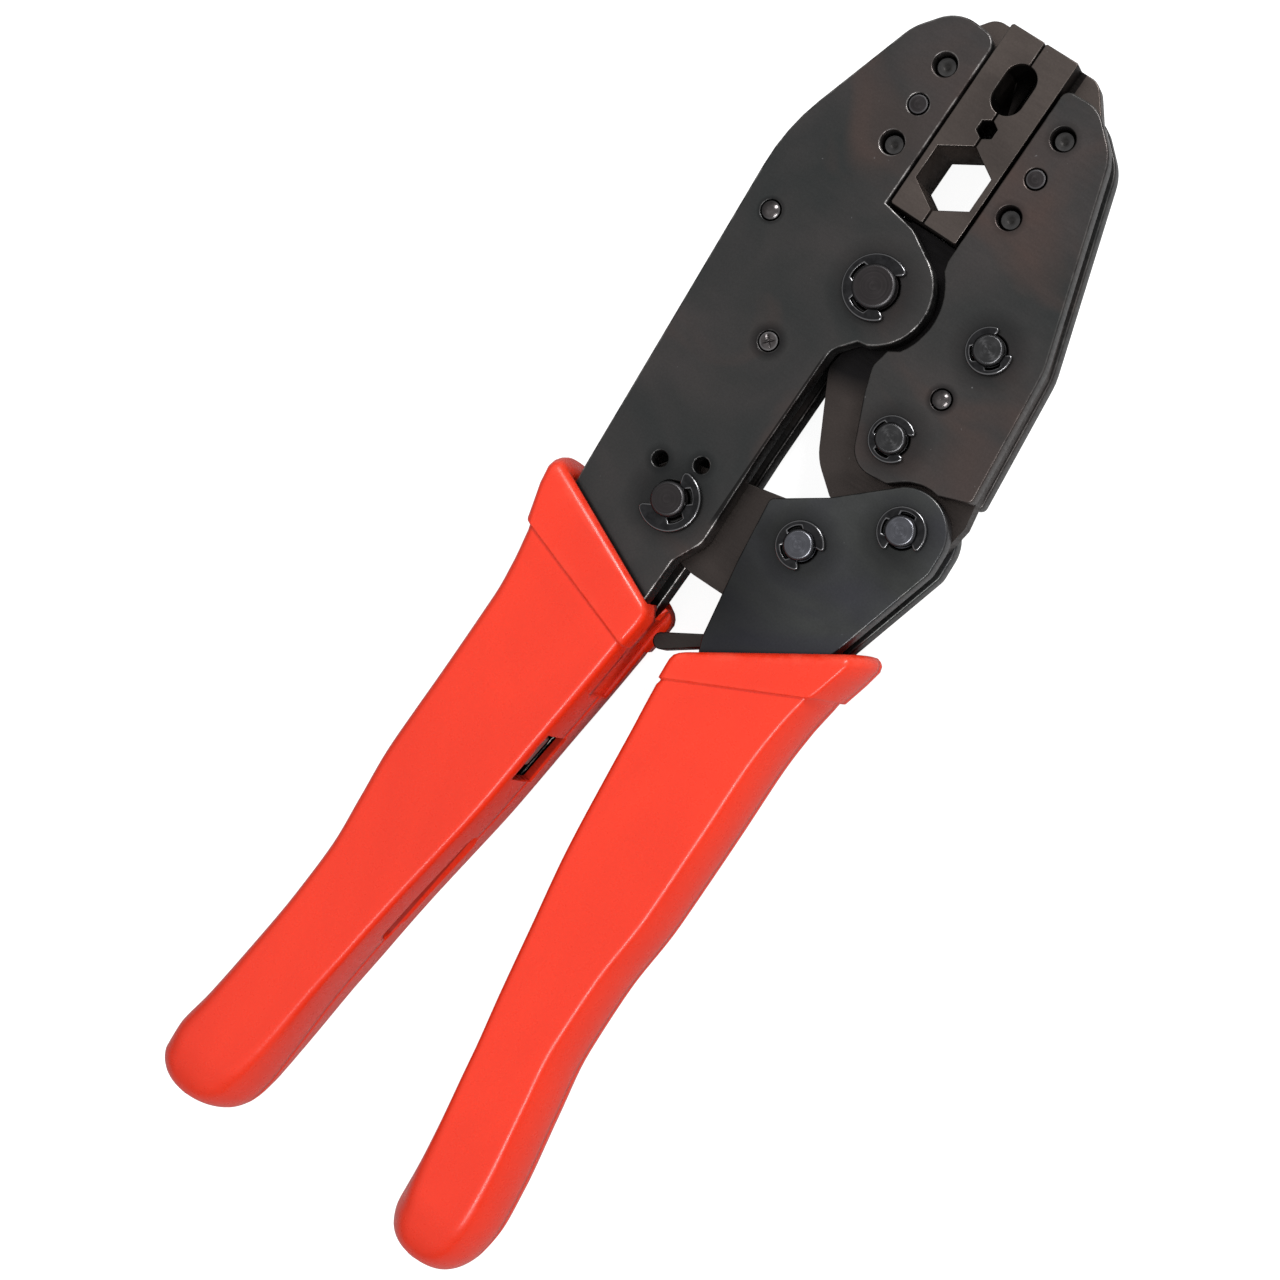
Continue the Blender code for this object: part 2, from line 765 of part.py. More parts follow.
boolean(fixed_grip, box_cutter("fixed_window", (-4.6, -98.5), (5.0, 10.0), -5.0, 8.0, 17.2), "DIFFERENCE")
groove_box = box_cutter("fixed_groove", (-7.1, -129.0), (2.4, 25.0), -6.8, 8.0, 12.0)
boolean(fixed_grip, groove_box, "DIFFERENCE")
frame.append(fixed_grip)
frame.append(make_die("fixed_die", -1.0, MAIN))
frame.append(die_screw("fixed_die_screw_high", (-DIE_X, SCREW_HIGH_Y)))
frame.append(die_screw("fixed_die_screw_low", (-DIE_X, SCREW_LOW_Y)))
frame.append(
    flush_pin("fixed_die_dowel", (-DIE_X, DOWEL_Y), RIVET_R - 0.1, *flush, 0.15, pin_steel("dowel_steel_a"))
)
frame.append(
    flush_pin("frame_rivet_upper", RIVET_UPPER, RIVET_R - 0.1, *flush, 0.7, pin_steel("rivet_steel_a"))
)
frame.append(
    flush_pin("frame_rivet_lower", RIVET_LOWER, RIVET_R - 0.1, *flush, 0.3, pin_steel("rivet_steel_b"))
)
frame.append(
    flush_pin("frame_tang_rivet_high", TANG_RIVET_HIGH, RIVET_R, *flush, 0.1, bright_steel("tang_steel_a"))
)
frame.append(
    flush_pin("frame_tang_rivet_low", TANG_RIVET_LOW, RIVET_R, *flush, 0.1, bright_steel("tang_steel_b"))
)
frame.append(
    flush_pin("spring_anchor_pin", SPRING_ANCHOR, 1.2, *flush, 0.1, bright_steel("anchor_steel"))
)
frame += pin_and_ring("main_pivot_pin", MAIN, MAIN_PIN_R, 5.8, 7.0)
adjuster_profile = [
    (0.0, 19.2),
    (ADJUSTER_R - 0.4, 19.2),
    (ADJUSTER_R, 18.8),
    (ADJUSTER_R, 18.1),
    (ADJUSTER_R - 0.6, 18.1),
    (ADJUSTER_R - 0.6, 17.15),
    (ADJUSTER_R, 17.15),
    (ADJUSTER_R, 0.7),
    (ADJUSTER_R + 0.9, 0.7),
    (ADJUSTER_R + 0.9, 0.2),
    (0.0, 0.2),
]
frame.append(turned("adjuster_pin", adjuster_profile, ADJUSTER, pin_steel("adjuster_steel")))
frame.append(retaining_ring("adjuster_pin_ring", ADJUSTER, 5.6, ADJUSTER_R - 0.45, 158.0))
frame.append(
    plate(
        "adjuster_wheel", wheel_outline(), [circle(ADJUSTER, ADJUSTER_R + 0.2)], 1.0, 2.7, ADJUSTER,
        pin_steel("wheel_steel"),
    )
)
lock_profile = [(0.0, 7.2), (1.1, 7.2), (1.1, 2.7), (1.35, 2.7), (1.35, 0.9), (0.0, 0.9)]
frame.append(turned("adjuster_lock_screw", lock_profile, LOCK_HOLE, bright_steel("lock_steel"), 10))
frame.append(
    coil_spring("return_spring", SPRING_TOP, SPRING_FOOT, (8.0, 1.5), 1.8, 0.7, 7, MAIN)
)
join_body("frame_axis", MAIN, frame)

# Moving jaw.
jaw_holes = [
    circle(JAW_PIN_UPPER, PIN_R + FIT),
    circle(JAW_PIN_LOWER, PIN_R + FIT),
    circle(JAW_RIVET, RIVET_R + FIT, 12),
]
cheek_holes = jaw_holes + [circle((DIE_X, y), radius, 12) for y, radius in seat_holes]
jaw = [
    plate(
        "jaw_front_plate", cheek_outline(), cheek_holes, FRONT_LOW, FRONT_HIGH, MAIN,
        black_oxide("jaw_front_oxide"),
    ),
    plate(
        "jaw_back_plate", cheek_outline(), cheek_holes, BACK_LOW, BACK_HIGH, MAIN,
        black_oxide("jaw_back_oxide"),
    ),
    plate(
        "jaw_lever", lever_outline(),
        jaw_holes + [circle(MAIN, MAIN_PIN_R + FIT), circle(HANDLE, PIN_R + FIT)],
        MID_LOW, MID_HIGH, MAIN, brown_oxide("lever_oxide"),
    ),
    make_die("moving_die", 1.0, MAIN),
    die_screw("moving_die_screw_high", (DIE_X, SCREW_HIGH_Y)),
    die_screw("moving_die_screw_low", (DIE_X, SCREW_LOW_Y)),
    flush_pin("moving_die_dowel", (DIE_X, DOWEL_Y), RIVET_R - 0.1, *flush, 0.15, pin_steel("dowel_steel_b")),
    flush_pin("jaw_rivet", JAW_RIVET, RIVET_R - 0.1, *flush, 0.7, pin_steel("rivet_steel_c")),
]
jaw += pin_and_ring("jaw_pin_upper", JAW_PIN_UPPER, PIN_R, 4.1, 60.0)
jaw += pin_and_ring("jaw_pin_lower", JAW_PIN_LOWER, PIN_R, 4.1, 8.0)
join_body("moving_jaw_axis", MAIN, jaw)

# Moving handle.
handle_holes = [
    circle(HANDLE, PIN_R + FIT),
    circle(TOGGLE, PIN_R + FIT),
    circle(PAWL, PAWL_PIN_R + 0.2, 12),
    circle(HANDLE_RIVET_HIGH, RIVET_R + FIT, 10),
    circle(HANDLE_RIVET_LOW, RIVET_R + FIT, 10),
]
handle_spacer = rounded(
    [
        (13.2, -80.0, 1.5),
        (25.8, -80.0, 1.5),
        (26.0, -108.0, 0.0),
        (25.6, -128.0, 0.0),
        (28.0, -144.0, 1.5),
        (21.8, -143.0, 1.5),
        (18.4, -120.0, 0.0),
        (16.4, -107.0, 0.0),
        (14.6, -92.0, 0.0),
    ],
    30.0,
)
spacer_holes = [circle(HANDLE_RIVET_HIGH, RIVET_R + FIT, 10), circle(HANDLE_RIVET_LOW, RIVET_R + FIT, 10)]
moving_stations = [
    ((7.6, -69.0), (34.8, -50.4), 1.6),
    ((6.8, -71.0), (36.2, -52.4), 0.0),
    ((7.0, -74.0), (34.4, -59.8), 0.0),
    ((7.3, -75.6), (33.4, -62.0), 0.4),
    ((8.2, -84.0), (32.4, -76.0), 0.5),
    ((9.1, -93.0), (32.8, -90.7), 0.6),
    ((10.7, -107.0), (33.0, -108.0), 0.7),
    ((13.1, -121.0), (32.2, -122.0), 0.7),
    ((15.4, -134.0), (32.6, -135.0), 0.5),
    ((17.7, -146.0), (34.6, -147.5), 0.2),
    ((19.5, -160.0), (37.0, -161.0), 0.0),
    ((20.1, -169.0), (37.9, -169.5), 0.0),
    ((20.3, -174.6), (37.4, -174.6), 0.6),
    ((21.6, -178.6), (35.6, -178.8), 2.2),
    ((25.0, -181.2), (31.8, -181.2), 5.2),
]
moving_pocket = [
    ((10.2, -67.4), (30.8, -55.2)),
    ((11.2, -78.0), (28.4, -72.0)),
    ((13.0, -94.0), (27.7, -92.0)),
    ((14.8, -108.0), (27.8, -108.0)),
    ((16.4, -121.0), (27.4, -127.0)),
    ((20.2, -147.0), (30.0, -147.0)),
]
moving_grip = make_grip("moving_grip", moving_stations, moving_pocket, False, HANDLE)
boolean(moving_grip, box_cutter("moving_window", (12.0, -99.0), (8.0, 12.0), 5.0, 6.0, 14.0), "DIFFERENCE")
boolean(moving_grip, box_cutter("moving_groove", (14.6, -128.0), (2.4, 25.0), 9.0, 8.0, 12.0), "DIFFERENCE")
handle = [
    plate(
        "handle_front_plate", handle_outline(), handle_holes, FRONT_LOW, FRONT_HIGH, HANDLE,
        black_oxide("handle_front_oxide"),
    ),
    plate(
        "handle_back_plate", handle_outline(), handle_holes, BACK_LOW, BACK_HIGH, HANDLE,
        black_oxide("handle_back_oxide"),
    ),
    plate(
        "handle_spacer", handle_spacer, spacer_holes, MID_LOW, MID_HIGH, HANDLE,
        bright_steel("handle_spacer_steel"),
    ),
    moving_grip,
    flush_pin("handle_rivet_high", HANDLE_RIVET_HIGH, RIVET_R, *flush, 0.1, bright_steel("handle_steel_a")),
    flush_pin("handle_rivet_low", HANDLE_RIVET_LOW, RIVET_R, *flush, 0.1, bright_steel("handle_steel_b")),
    flush_pin("pawl_pin", PAWL, PAWL_PIN_R, *flush, 0.1, bright_steel("pawl_pin_steel")),
    coil_spring("pawl_spring", (20.3, -79.4), (20.3, -67.3), (0.0, 0.0), 1.5, 0.6, 5, HANDLE),
]
handle += pin_and_ring("handle_pivot_pin", HANDLE, PIN_R, 4.3, -60.0)
handle += pin_and_ring("toggle_pin", TOGGLE, PIN_R, 4.3, -20.0)
join_body("moving_handle_axis", HANDLE, handle)

# Toggle link and pawl.
toggle_holes = [
    circle(ADJUSTER, ADJUSTER_R + FIT),
    circle(TOGGLE, PIN_R + TOGGLE_PLAY),
    circle(SPRING_HOOK, 0.8, 10),
]
toggle = plate(
    "toggle_link", toggle_outline(), toggle_holes, MID_LOW, MID_HIGH, ADJUSTER,
    brown_oxide("toggle_oxide"),
)
join_body("toggle_axis", ADJUSTER, [toggle])
pawl = plate(
    "ratchet_pawl", pawl_outline(), [circle(PAWL, PAWL_PIN_R + FIT, 12)], MID_LOW, MID_HIGH, PAWL,
    brown_oxide("pawl_oxide"),
)
join_body("pawl_axis", PAWL, [pawl])
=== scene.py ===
"""Looks of the ratchet coaxial crimping tool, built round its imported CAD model.

Lengths in the tables below are millimetres. Plan points are measured from the main pivot's axis.
"""

import math

import bmesh
import bpy
from mathutils import Matrix, Vector
from mathutils.geometry import tessellate_polygon


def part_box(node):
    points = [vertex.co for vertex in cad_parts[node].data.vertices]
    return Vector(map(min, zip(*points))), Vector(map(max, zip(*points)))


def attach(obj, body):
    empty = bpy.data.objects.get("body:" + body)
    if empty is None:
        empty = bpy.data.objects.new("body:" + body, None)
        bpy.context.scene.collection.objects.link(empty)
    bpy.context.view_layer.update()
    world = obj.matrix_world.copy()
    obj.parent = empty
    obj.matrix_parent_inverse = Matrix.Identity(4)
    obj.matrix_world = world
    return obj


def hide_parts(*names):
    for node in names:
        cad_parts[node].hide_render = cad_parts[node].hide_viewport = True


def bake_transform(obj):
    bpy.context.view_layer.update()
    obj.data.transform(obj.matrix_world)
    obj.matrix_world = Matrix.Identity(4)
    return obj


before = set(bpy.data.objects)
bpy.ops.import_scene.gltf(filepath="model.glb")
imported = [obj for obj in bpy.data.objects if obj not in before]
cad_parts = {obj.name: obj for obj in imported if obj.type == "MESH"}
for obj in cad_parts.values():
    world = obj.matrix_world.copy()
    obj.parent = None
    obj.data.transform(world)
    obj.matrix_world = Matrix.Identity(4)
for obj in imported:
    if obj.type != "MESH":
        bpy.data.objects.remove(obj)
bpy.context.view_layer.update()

MM = 0.001


def link(obj):
    bpy.context.scene.collection.objects.link(obj)
    return obj


# ---------------------------------------------------------------- places from the CAD

def middle(node):
    """The middle of a CAD node's box, in millimetres of the whole frame."""
    low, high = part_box(node)
    return (low + high) / 2.0 / MM


PIVOT = middle("main_pivot_pin")


def axis_of(node):
    """A round node's axis in plan, from the main pivot."""
    centre = middle(node)
    return (centre.x - PIVOT.x, centre.y - PIVOT.y)


def heights(node):
    low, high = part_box(node)
    return (low.z / MM, high.z / MM)


def nodes_with(text):
    return sorted(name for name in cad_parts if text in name)


MAIN = (0.0, 0.0)
ADJUSTER = axis_of("adjuster_pin")
HANDLE = axis_of("handle_pivot_pin")
TOGGLE = axis_of("toggle_pin")
PAWL = axis_of("pawl_pin")
JAW_PIN_UPPER = axis_of("jaw_pin_upper")
JAW_PIN_LOWER = axis_of("jaw_pin_lower")
JAW_RIVET = axis_of("jaw_rivet")
RIVET_UPPER = axis_of("frame_rivet_upper")
RIVET_LOWER = axis_of("frame_rivet_lower")
LOCK_SCREW = axis_of("adjuster_lock_screw")
SPARE_HOLE = (-7.7, -40.9)
DIE_SCREWS = [axis_of(name) for name in nodes_with("die_screw")]
DIE_DOWELS = [axis_of(name) for name in nodes_with("die_dowel")]
TANG_RIVETS = [axis_of(name) for name in nodes_with("frame_tang_rivet")]
HANDLE_RIVETS = [axis_of(name) for name in nodes_with("handle_rivet")]
SPRING_ANCHOR = axis_of("spring_anchor_pin")

BACK_LOW, BACK_HIGH = heights("frame_back_plate")
MID_LOW, MID_HIGH = heights("jaw_lever")
FRONT_LOW, FRONT_HIGH = heights("frame_front_plate")
GRIP_LOW, GRIP_HIGH = heights("fixed_grip")

MIDDLE = (MID_LOW, MID_HIGH)

# The dies: their split's place, their ends, half their width, and how far out their seats are.
DIE_MID = 0.3
DIE_LOW = 13.1
DIE_HIGH = 48.5
DIE_HALF = 6.7
SEAT_X = 7.2
# The nests: the hexagons' corner radii, and every nest's middle.
HEX_RADIUS = 10.9 / math.sqrt(3.0)
HEX_Y = 22.0
SMALL_HEX_RADIUS = 3.1 / math.sqrt(3.0)
SMALL_HEX_Y = 31.6
OVAL_Y = 39.4
# Half the gap between the two die halves.
SPLIT = 0.15
# The floor of the oval nest: its half width and half height in plan, and its lower and upper faces.
FLOOR_HALF = (3.4, 4.9)
FLOOR_LEVELS = (BACK_LOW + 0.5, 8.4)


# ---------------------------------------------------------------- plan geometry

def polar(centre, radius, angle):
    turn = math.radians(angle)
    return (centre[0] + radius * math.cos(turn), centre[1] + radius * math.sin(turn))


def arc(centre, radius, start, end, step=6.0):
    """Points along an arc, from one angle to another in steps of some degrees."""
    count = max(2, int(math.ceil(abs(end - start) / step)) + 1)
    return [polar(centre, radius, start + (end - start) * i / (count - 1)) for i in range(count)]


def circle(centre, radius, sides=48):
    return arc(centre, radius, 0.0, 360.0 - 360.0 / sides, 360.0 / sides + 1e-6)


def turned_box(centre, size, turn):
    """The corners of a box turned in plan."""
    half_x, half_y = size[0] / 2.0, size[1] / 2.0
    cos, sin = math.cos(math.radians(turn)), math.sin(math.radians(turn))
    return [
        (centre[0] + x * cos - y * sin, centre[1] + x * sin + y * cos)
        for x, y in ((-half_x, -half_y), (half_x, -half_y), (half_x, half_y), (-half_x, half_y))
    ]


def rounded(corners, step=6.0):
    """A closed outline through corners: (x, y) for a sharp one, (x, y, radius) for a rounded one."""
    points = []
    count = len(corners)
    for i, corner in enumerate(corners):
        if len(corner) == 2:
            points.append(corner)
            continue
        x, y, radius = corner
        here = Vector((x, y))
        before = (Vector(corners[i - 1][:2]) - here).normalized()
        after = (Vector(corners[(i + 1) % count][:2]) - here).normalized()
        half = before.angle(after) / 2.0
        reach = radius / math.tan(half)
        hub = here + (before + after).normalized() * (radius / math.sin(half))
        start = here + before * reach - hub
        turn = (180.0 - math.degrees(2.0 * half)) * (1.0 if before.cross(after) < 0.0 else -1.0)
        first = math.degrees(math.atan2(start.y, start.x))
        points.extend(arc(hub, radius, first, first + turn, step))
    return points


def signed_area(points):
    total = 0.0
    for (ax, ay), (bx, by) in zip(points, points[1:] + points[:1]):
        total += ax * by - bx * ay
    return total / 2.0


def tidy_loop(points, clockwise):
    """The loop without repeated points, running the way asked."""
    kept = []
    for x, y in points:
        if not kept or (Vector((x, y)) - Vector(kept[-1])).length > 0.01:
            kept.append((x, y))
    if (Vector(kept[0]) - Vector(kept[-1])).length < 0.01:
        kept.pop()
    if (signed_area(kept) < 0.0) != clockwise:
        kept.reverse()
    return kept


def mitres(points):
    """At each point, the step into the material that moves both edges in by one."""
    result = []
    count = len(points)
    for i in range(count):
        here = Vector(points[i])
        a = (here - Vector(points[i - 1])).normalized()
        b = (Vector(points[(i + 1) % count]) - here).normalized()
        normal_a = Vector((-a.y, a.x))
        normal_b = Vector((-b.y, b.x))
        bisector = normal_a + normal_b
        if bisector.length < 1e-6:
            result.append(normal_a)
            continue
        bisector.normalize()
        result.append(bisector / max(0.35, bisector.dot(normal_a)))
    return result


# ---------------------------------------------------------------- meshes

def shade(mesh, limit=38.0):
    """Smooth shading in which flat level faces stay flat up to their bevels."""
    mesh.shade_smooth()
    mesh.set_sharp_from_angle(angle=math.radians(limit))
    level = {}
    for face in mesh.polygons:
        if abs(face.normal.z) > 0.99995:
            for vertex in face.vertices:
                level[vertex] = face.normal.copy()
    normals = [Vector(corner.vector) for corner in mesh.corner_normals]
    for loop in mesh.loops:
        flat = level.get(loop.vertex_index)
        if flat is not None and normals[loop.index].dot(flat) > 0.75:
            normals[loop.index] = flat
    mesh.normals_split_custom_set(normals)


def make_object(name, verts, faces, edge, origin=(0.0, 0.0, 0.0), limit=38.0):
    """A mesh object; verts are in millimetres from the pivot in plan and from the floor in height."""
    mesh = bpy.data.meshes.new(name)
    ox, oy, oz = origin
    mesh.from_pydata([((x - ox) * MM, (y - oy) * MM, (z - oz) * MM) for x, y, z in verts], [], faces)
    attribute = mesh.attributes.new("edge", "FLOAT", "POINT")
    attribute.data.foreach_set("value", edge)
    built = bmesh.new()
    built.from_mesh(mesh)
    bmesh.ops.recalc_face_normals(built, faces=built.faces)
    built.to_mesh(mesh)
    built.free()
    shade(mesh, limit)
    obj = bpy.data.objects.new(name, mesh)
    obj.location = ((PIVOT.x + ox) * MM, (PIVOT.y + oy) * MM, oz * MM)
    return link(obj)


def bevel_rings(size, steps):
    """A rounded edge from the flat face to the side, as (inset, drop, edge weight)."""
    if size <= 0.0:
        return [(0.0, 0.0, 0.0)]
    rings = []
    for i in range(steps + 1):
        turn = math.pi / 2.0 * i / steps
        weight = 0.0 if i == 0 else (0.35 if i == steps else 1.0)
        rings.append((size * (1.0 - math.sin(turn)), size * (1.0 - math.cos(turn)), weight))
    return rings


def slab(name, outline, holes, low, high, bevel, hole_bevel=0.25, steps=3):
    """A plate of even thickness with rounded edges round its outline and its holes."""
    verts, faces, edge = [], [], []
    caps = ([], [])
    cap_index = ([], [])
    for number, points in enumerate([outline] + list(holes)):
        loop = tidy_loop(points, number > 0)
        steps_in = mitres(loop)
        size = hole_bevel if number else bevel
        rings = [(inset, high - drop, weight) for inset, drop, weight in bevel_rings(size, steps)]
        under = bevel_rings(min(bevel, size), steps)
        rings += [(inset, low + drop, weight) for inset, drop, weight in reversed(under)]
        start = len(verts)
        for inset, height, weight in rings:
            for (x, y), step in zip(loop, steps_in):
                verts.append((x + step.x * inset, y + step.y * inset, height))
                edge.append(weight)
        count = len(loop)
        for k in range(len(rings) - 1):
            for i in range(count):
                j = (i + 1) % count
                a = start + k * count
                b = a + count
                faces.append((a + i, b + i, b + j, a + j))
        for side, ring in ((0, 0), (1, len(rings) - 1)):
            first = start + ring * count
            caps[side].append([Vector((*verts[first + i][:2], 0.0)) for i in range(count)])
            cap_index[side].extend(range(first, first + count))
    for side in (0, 1):
        for triangle in tessellate_polygon(caps[side]):
            faces.append(tuple(cap_index[side][i] for i in triangle))
    return make_object(name, verts, faces, edge)


def turned(name, axis, profile, sides=64, cap_relief=None):
    """A turned piece. Its profile runs down the axis, as (radius, height) or (radius, height, weight)."""
    verts, faces, edge = [], [], []
    rings = []
    for radius, height, *weight in profile:
        weight = weight[0] if weight else 0.0
        if radius < 1e-6:
            verts.append((axis[0], axis[1], height))
            edge.append(weight)
            rings.append([len(verts) - 1])
            continue
        ring = []
        for i in range(sides):
            turn = 2.0 * math.pi * i / sides
            x, y = radius * math.cos(turn), radius * math.sin(turn)
            z = height + (cap_relief(x, y, height) if cap_relief else 0.0)
            verts.append((axis[0] + x, axis[1] + y, z))
            edge.append(weight)
            ring.append(len(verts) - 1)
        rings.append(ring)
    for upper, lower in zip(rings, rings[1:]):
        for i in range(sides):
            j = (i + 1) % sides
            if len(upper) == 1:
                faces.append((upper[0], lower[i], lower[j]))
            elif len(lower) == 1:
                faces.append((upper[i], lower[0], upper[j]))
            else:
                faces.append((upper[i], lower[i], lower[j], upper[j]))
    return make_object(name, verts, faces, edge, (*axis, 0.0), 32.0)


def tube(name, path, radius, sides=12):
    """A round wire along a path of points, with closed ends."""
    verts, faces = [], []
    previous = None
    side = None
    for i, point in enumerate(path):
        ahead = path[min(i + 1, len(path) - 1)]
        behind = path[max(i - 1, 0)]
        along = (ahead - behind).normalized()
        if side is None:
            side = along.orthogonal().normalized()
        side = (side - along * side.dot(along)).normalized()
        up = along.cross(side)
        ring = []
        for k in range(sides):
            turn = 2.0 * math.pi * k / sides
            ring.append(len(verts))
            verts.append(tuple(point + side * (math.cos(turn) * radius) + up * (math.sin(turn) * radius)))
        if previous:
            for k in range(sides):
                j = (k + 1) % sides
                faces.append((previous[k], previous[j], ring[j], ring[k]))
        else:
            faces.append(tuple(reversed(ring)))
        previous = ring
    faces.append(tuple(previous))
    return make_object(name, verts, faces, [0.0] * len(verts), limit=50.0)


def cut(obj, cutters, operation="DIFFERENCE"):
    """Applies Booleans to a piece. The cutters are removed."""
    for cutter in cutters:
        modifier = obj.modifiers.new("cut", "BOOLEAN")
        modifier.operation = operation
        modifier.solver = "EXACT"
        modifier.object = cutter
    bpy.context.view_layer.update()
    graph = bpy.context.evaluated_depsgraph_get()
    mesh = bpy.data.meshes.new_from_object(obj.evaluated_get(graph))
    obj.modifiers.clear()
    old = obj.data
    obj.data = mesh
    bpy.data.meshes.remove(old)
    for cutter in cutters:
        bpy.data.objects.remove(cutter, do_unlink=True)
    mesh.name = obj.name
    return obj


# ---------------------------------------------------------------- materials

class Look:
    """The nodes of a material or a world, in the coordinates of the piece that carries them."""

    def __init__(self, owner):
        owner.use_nodes = True
        self.owner = owner
        self.tree = owner.node_tree
        self.place = self.add("TexCoord").outputs["Object"]

    def feed(self, node, key, value):
        if isinstance(value, bpy.types.NodeSocket):
            self.tree.links.new(value, node.inputs[key])
        else:
            node.inputs[key].default_value = value

    def add(self, kind, inputs=None, **settings):
        node = self.tree.nodes.new("ShaderNode" + kind)
        for key, value in settings.items():
            setattr(node, key, value)
        for key, value in (inputs or {}).items():
            self.feed(node, key, value)
        return node

    def noise(self, scale, detail=3.0, roughness=0.5, distortion=0.0, at=None):
        inputs = {"Scale": scale, "Detail": detail, "Roughness": roughness, "Distortion": distortion}
        return self.add("TexNoise", {"Vector": at or self.place, **inputs}).outputs["Fac"]

    def remap(self, value, from_low, from_high, to_low, to_high):
        inputs = {"From Min": from_low, "From Max": from_high, "To Min": to_low, "To Max": to_high}
        return self.add("MapRange", {"Value": value, **inputs}).outputs["Result"]

    def calc(self, operation, a, b=0.0):
        return self.add("Math", {0: a, 1: b}, operation=operation).outputs["Value"]

    def times(self, a, b):
        return self.calc("MULTIPLY", a, b)

    def blend(self, factor, a, b, mode="MIX"):
        """Mixes two colours, each a tuple or a socket."""
        node = self.add("Mix", data_type="RGBA", blend_type=mode)
        for index, value in ((0, factor), (6, a), (7, b)):
            self.feed(node, index, (*value, 1.0) if isinstance(value, tuple) else value)
        return node.outputs[2]

    def stretched(self, scale):
        return self.add("Mapping", {"Vector": self.place, "Scale": scale}).outputs["Vector"]

    def distance(self, point, at=None):
        """Distance from a point given in millimetres."""
        ends = {0: at or self.place, 1: tuple(v * MM for v in point)}
        return self.add("VectorMath", ends, operation="DISTANCE").outputs["Value"]

    def edge(self):
        """The edge weight that the meshes carry."""
        return self.add("Attribute", attribute_name="edge").outputs["Fac"]

    def box_mask(self, centre, half, turn, soft=0.12):
        """One inside a box turned in plan, falling to nothing at its faces. Sizes in millimetres."""
        local = self.add(
            "Mapping",
            {
                "Vector": self.place, "Location": tuple(v * MM for v in centre),
                "Scale": tuple(v * MM for v in half), "Rotation": (0.0, 0.0, math.radians(turn)),
            },
            vector_type="TEXTURE",
        ).outputs["Vector"]
        size = self.add("VectorMath", {0: local}, operation="ABSOLUTE").outputs["Vector"]
        apart = self.add("SeparateXYZ", {"Vector": size}).outputs
        furthest = self.calc("MAXIMUM", self.calc("MAXIMUM", apart["X"], apart["Y"]), apart["Z"])
        return self.remap(furthest, 1.0 - soft, 1.0, 1.0, 0.0)

    def finish(self, base, rough, height, strength, distance, **constants):
        """Feeds the shader its colour, roughness and bump, sets its other sockets, and gives the material."""
        shader = self.tree.nodes["Principled BSDF"]
        bump = self.add("Bump", {"Height": height, "Strength": strength, "Distance": distance})
        self.feed(shader, "Base Color", base)
        self.feed(shader, "Roughness", rough)
        self.feed(shader, "Normal", bump.outputs["Normal"])
        for key, value in constants.items():
            shader.inputs[key.replace("_", " ")].default_value = value
        return self.owner


# Colour of oil stains round pins, and of painted shade in the dark patches of the lever and handle plate.
STAIN_AND_SHADE = (0.006, 0.006, 0.007)
# Colour of the painted shadow along a grip's collar line.
COLLAR_PAINTED_SHADOW = (0.006, 0.005, 0.005)
# Colour of painted shade in gaps, in the dies' nests and along a plate's edge.
PAINTED_SHADE = (0.008, 0.007, 0.007)


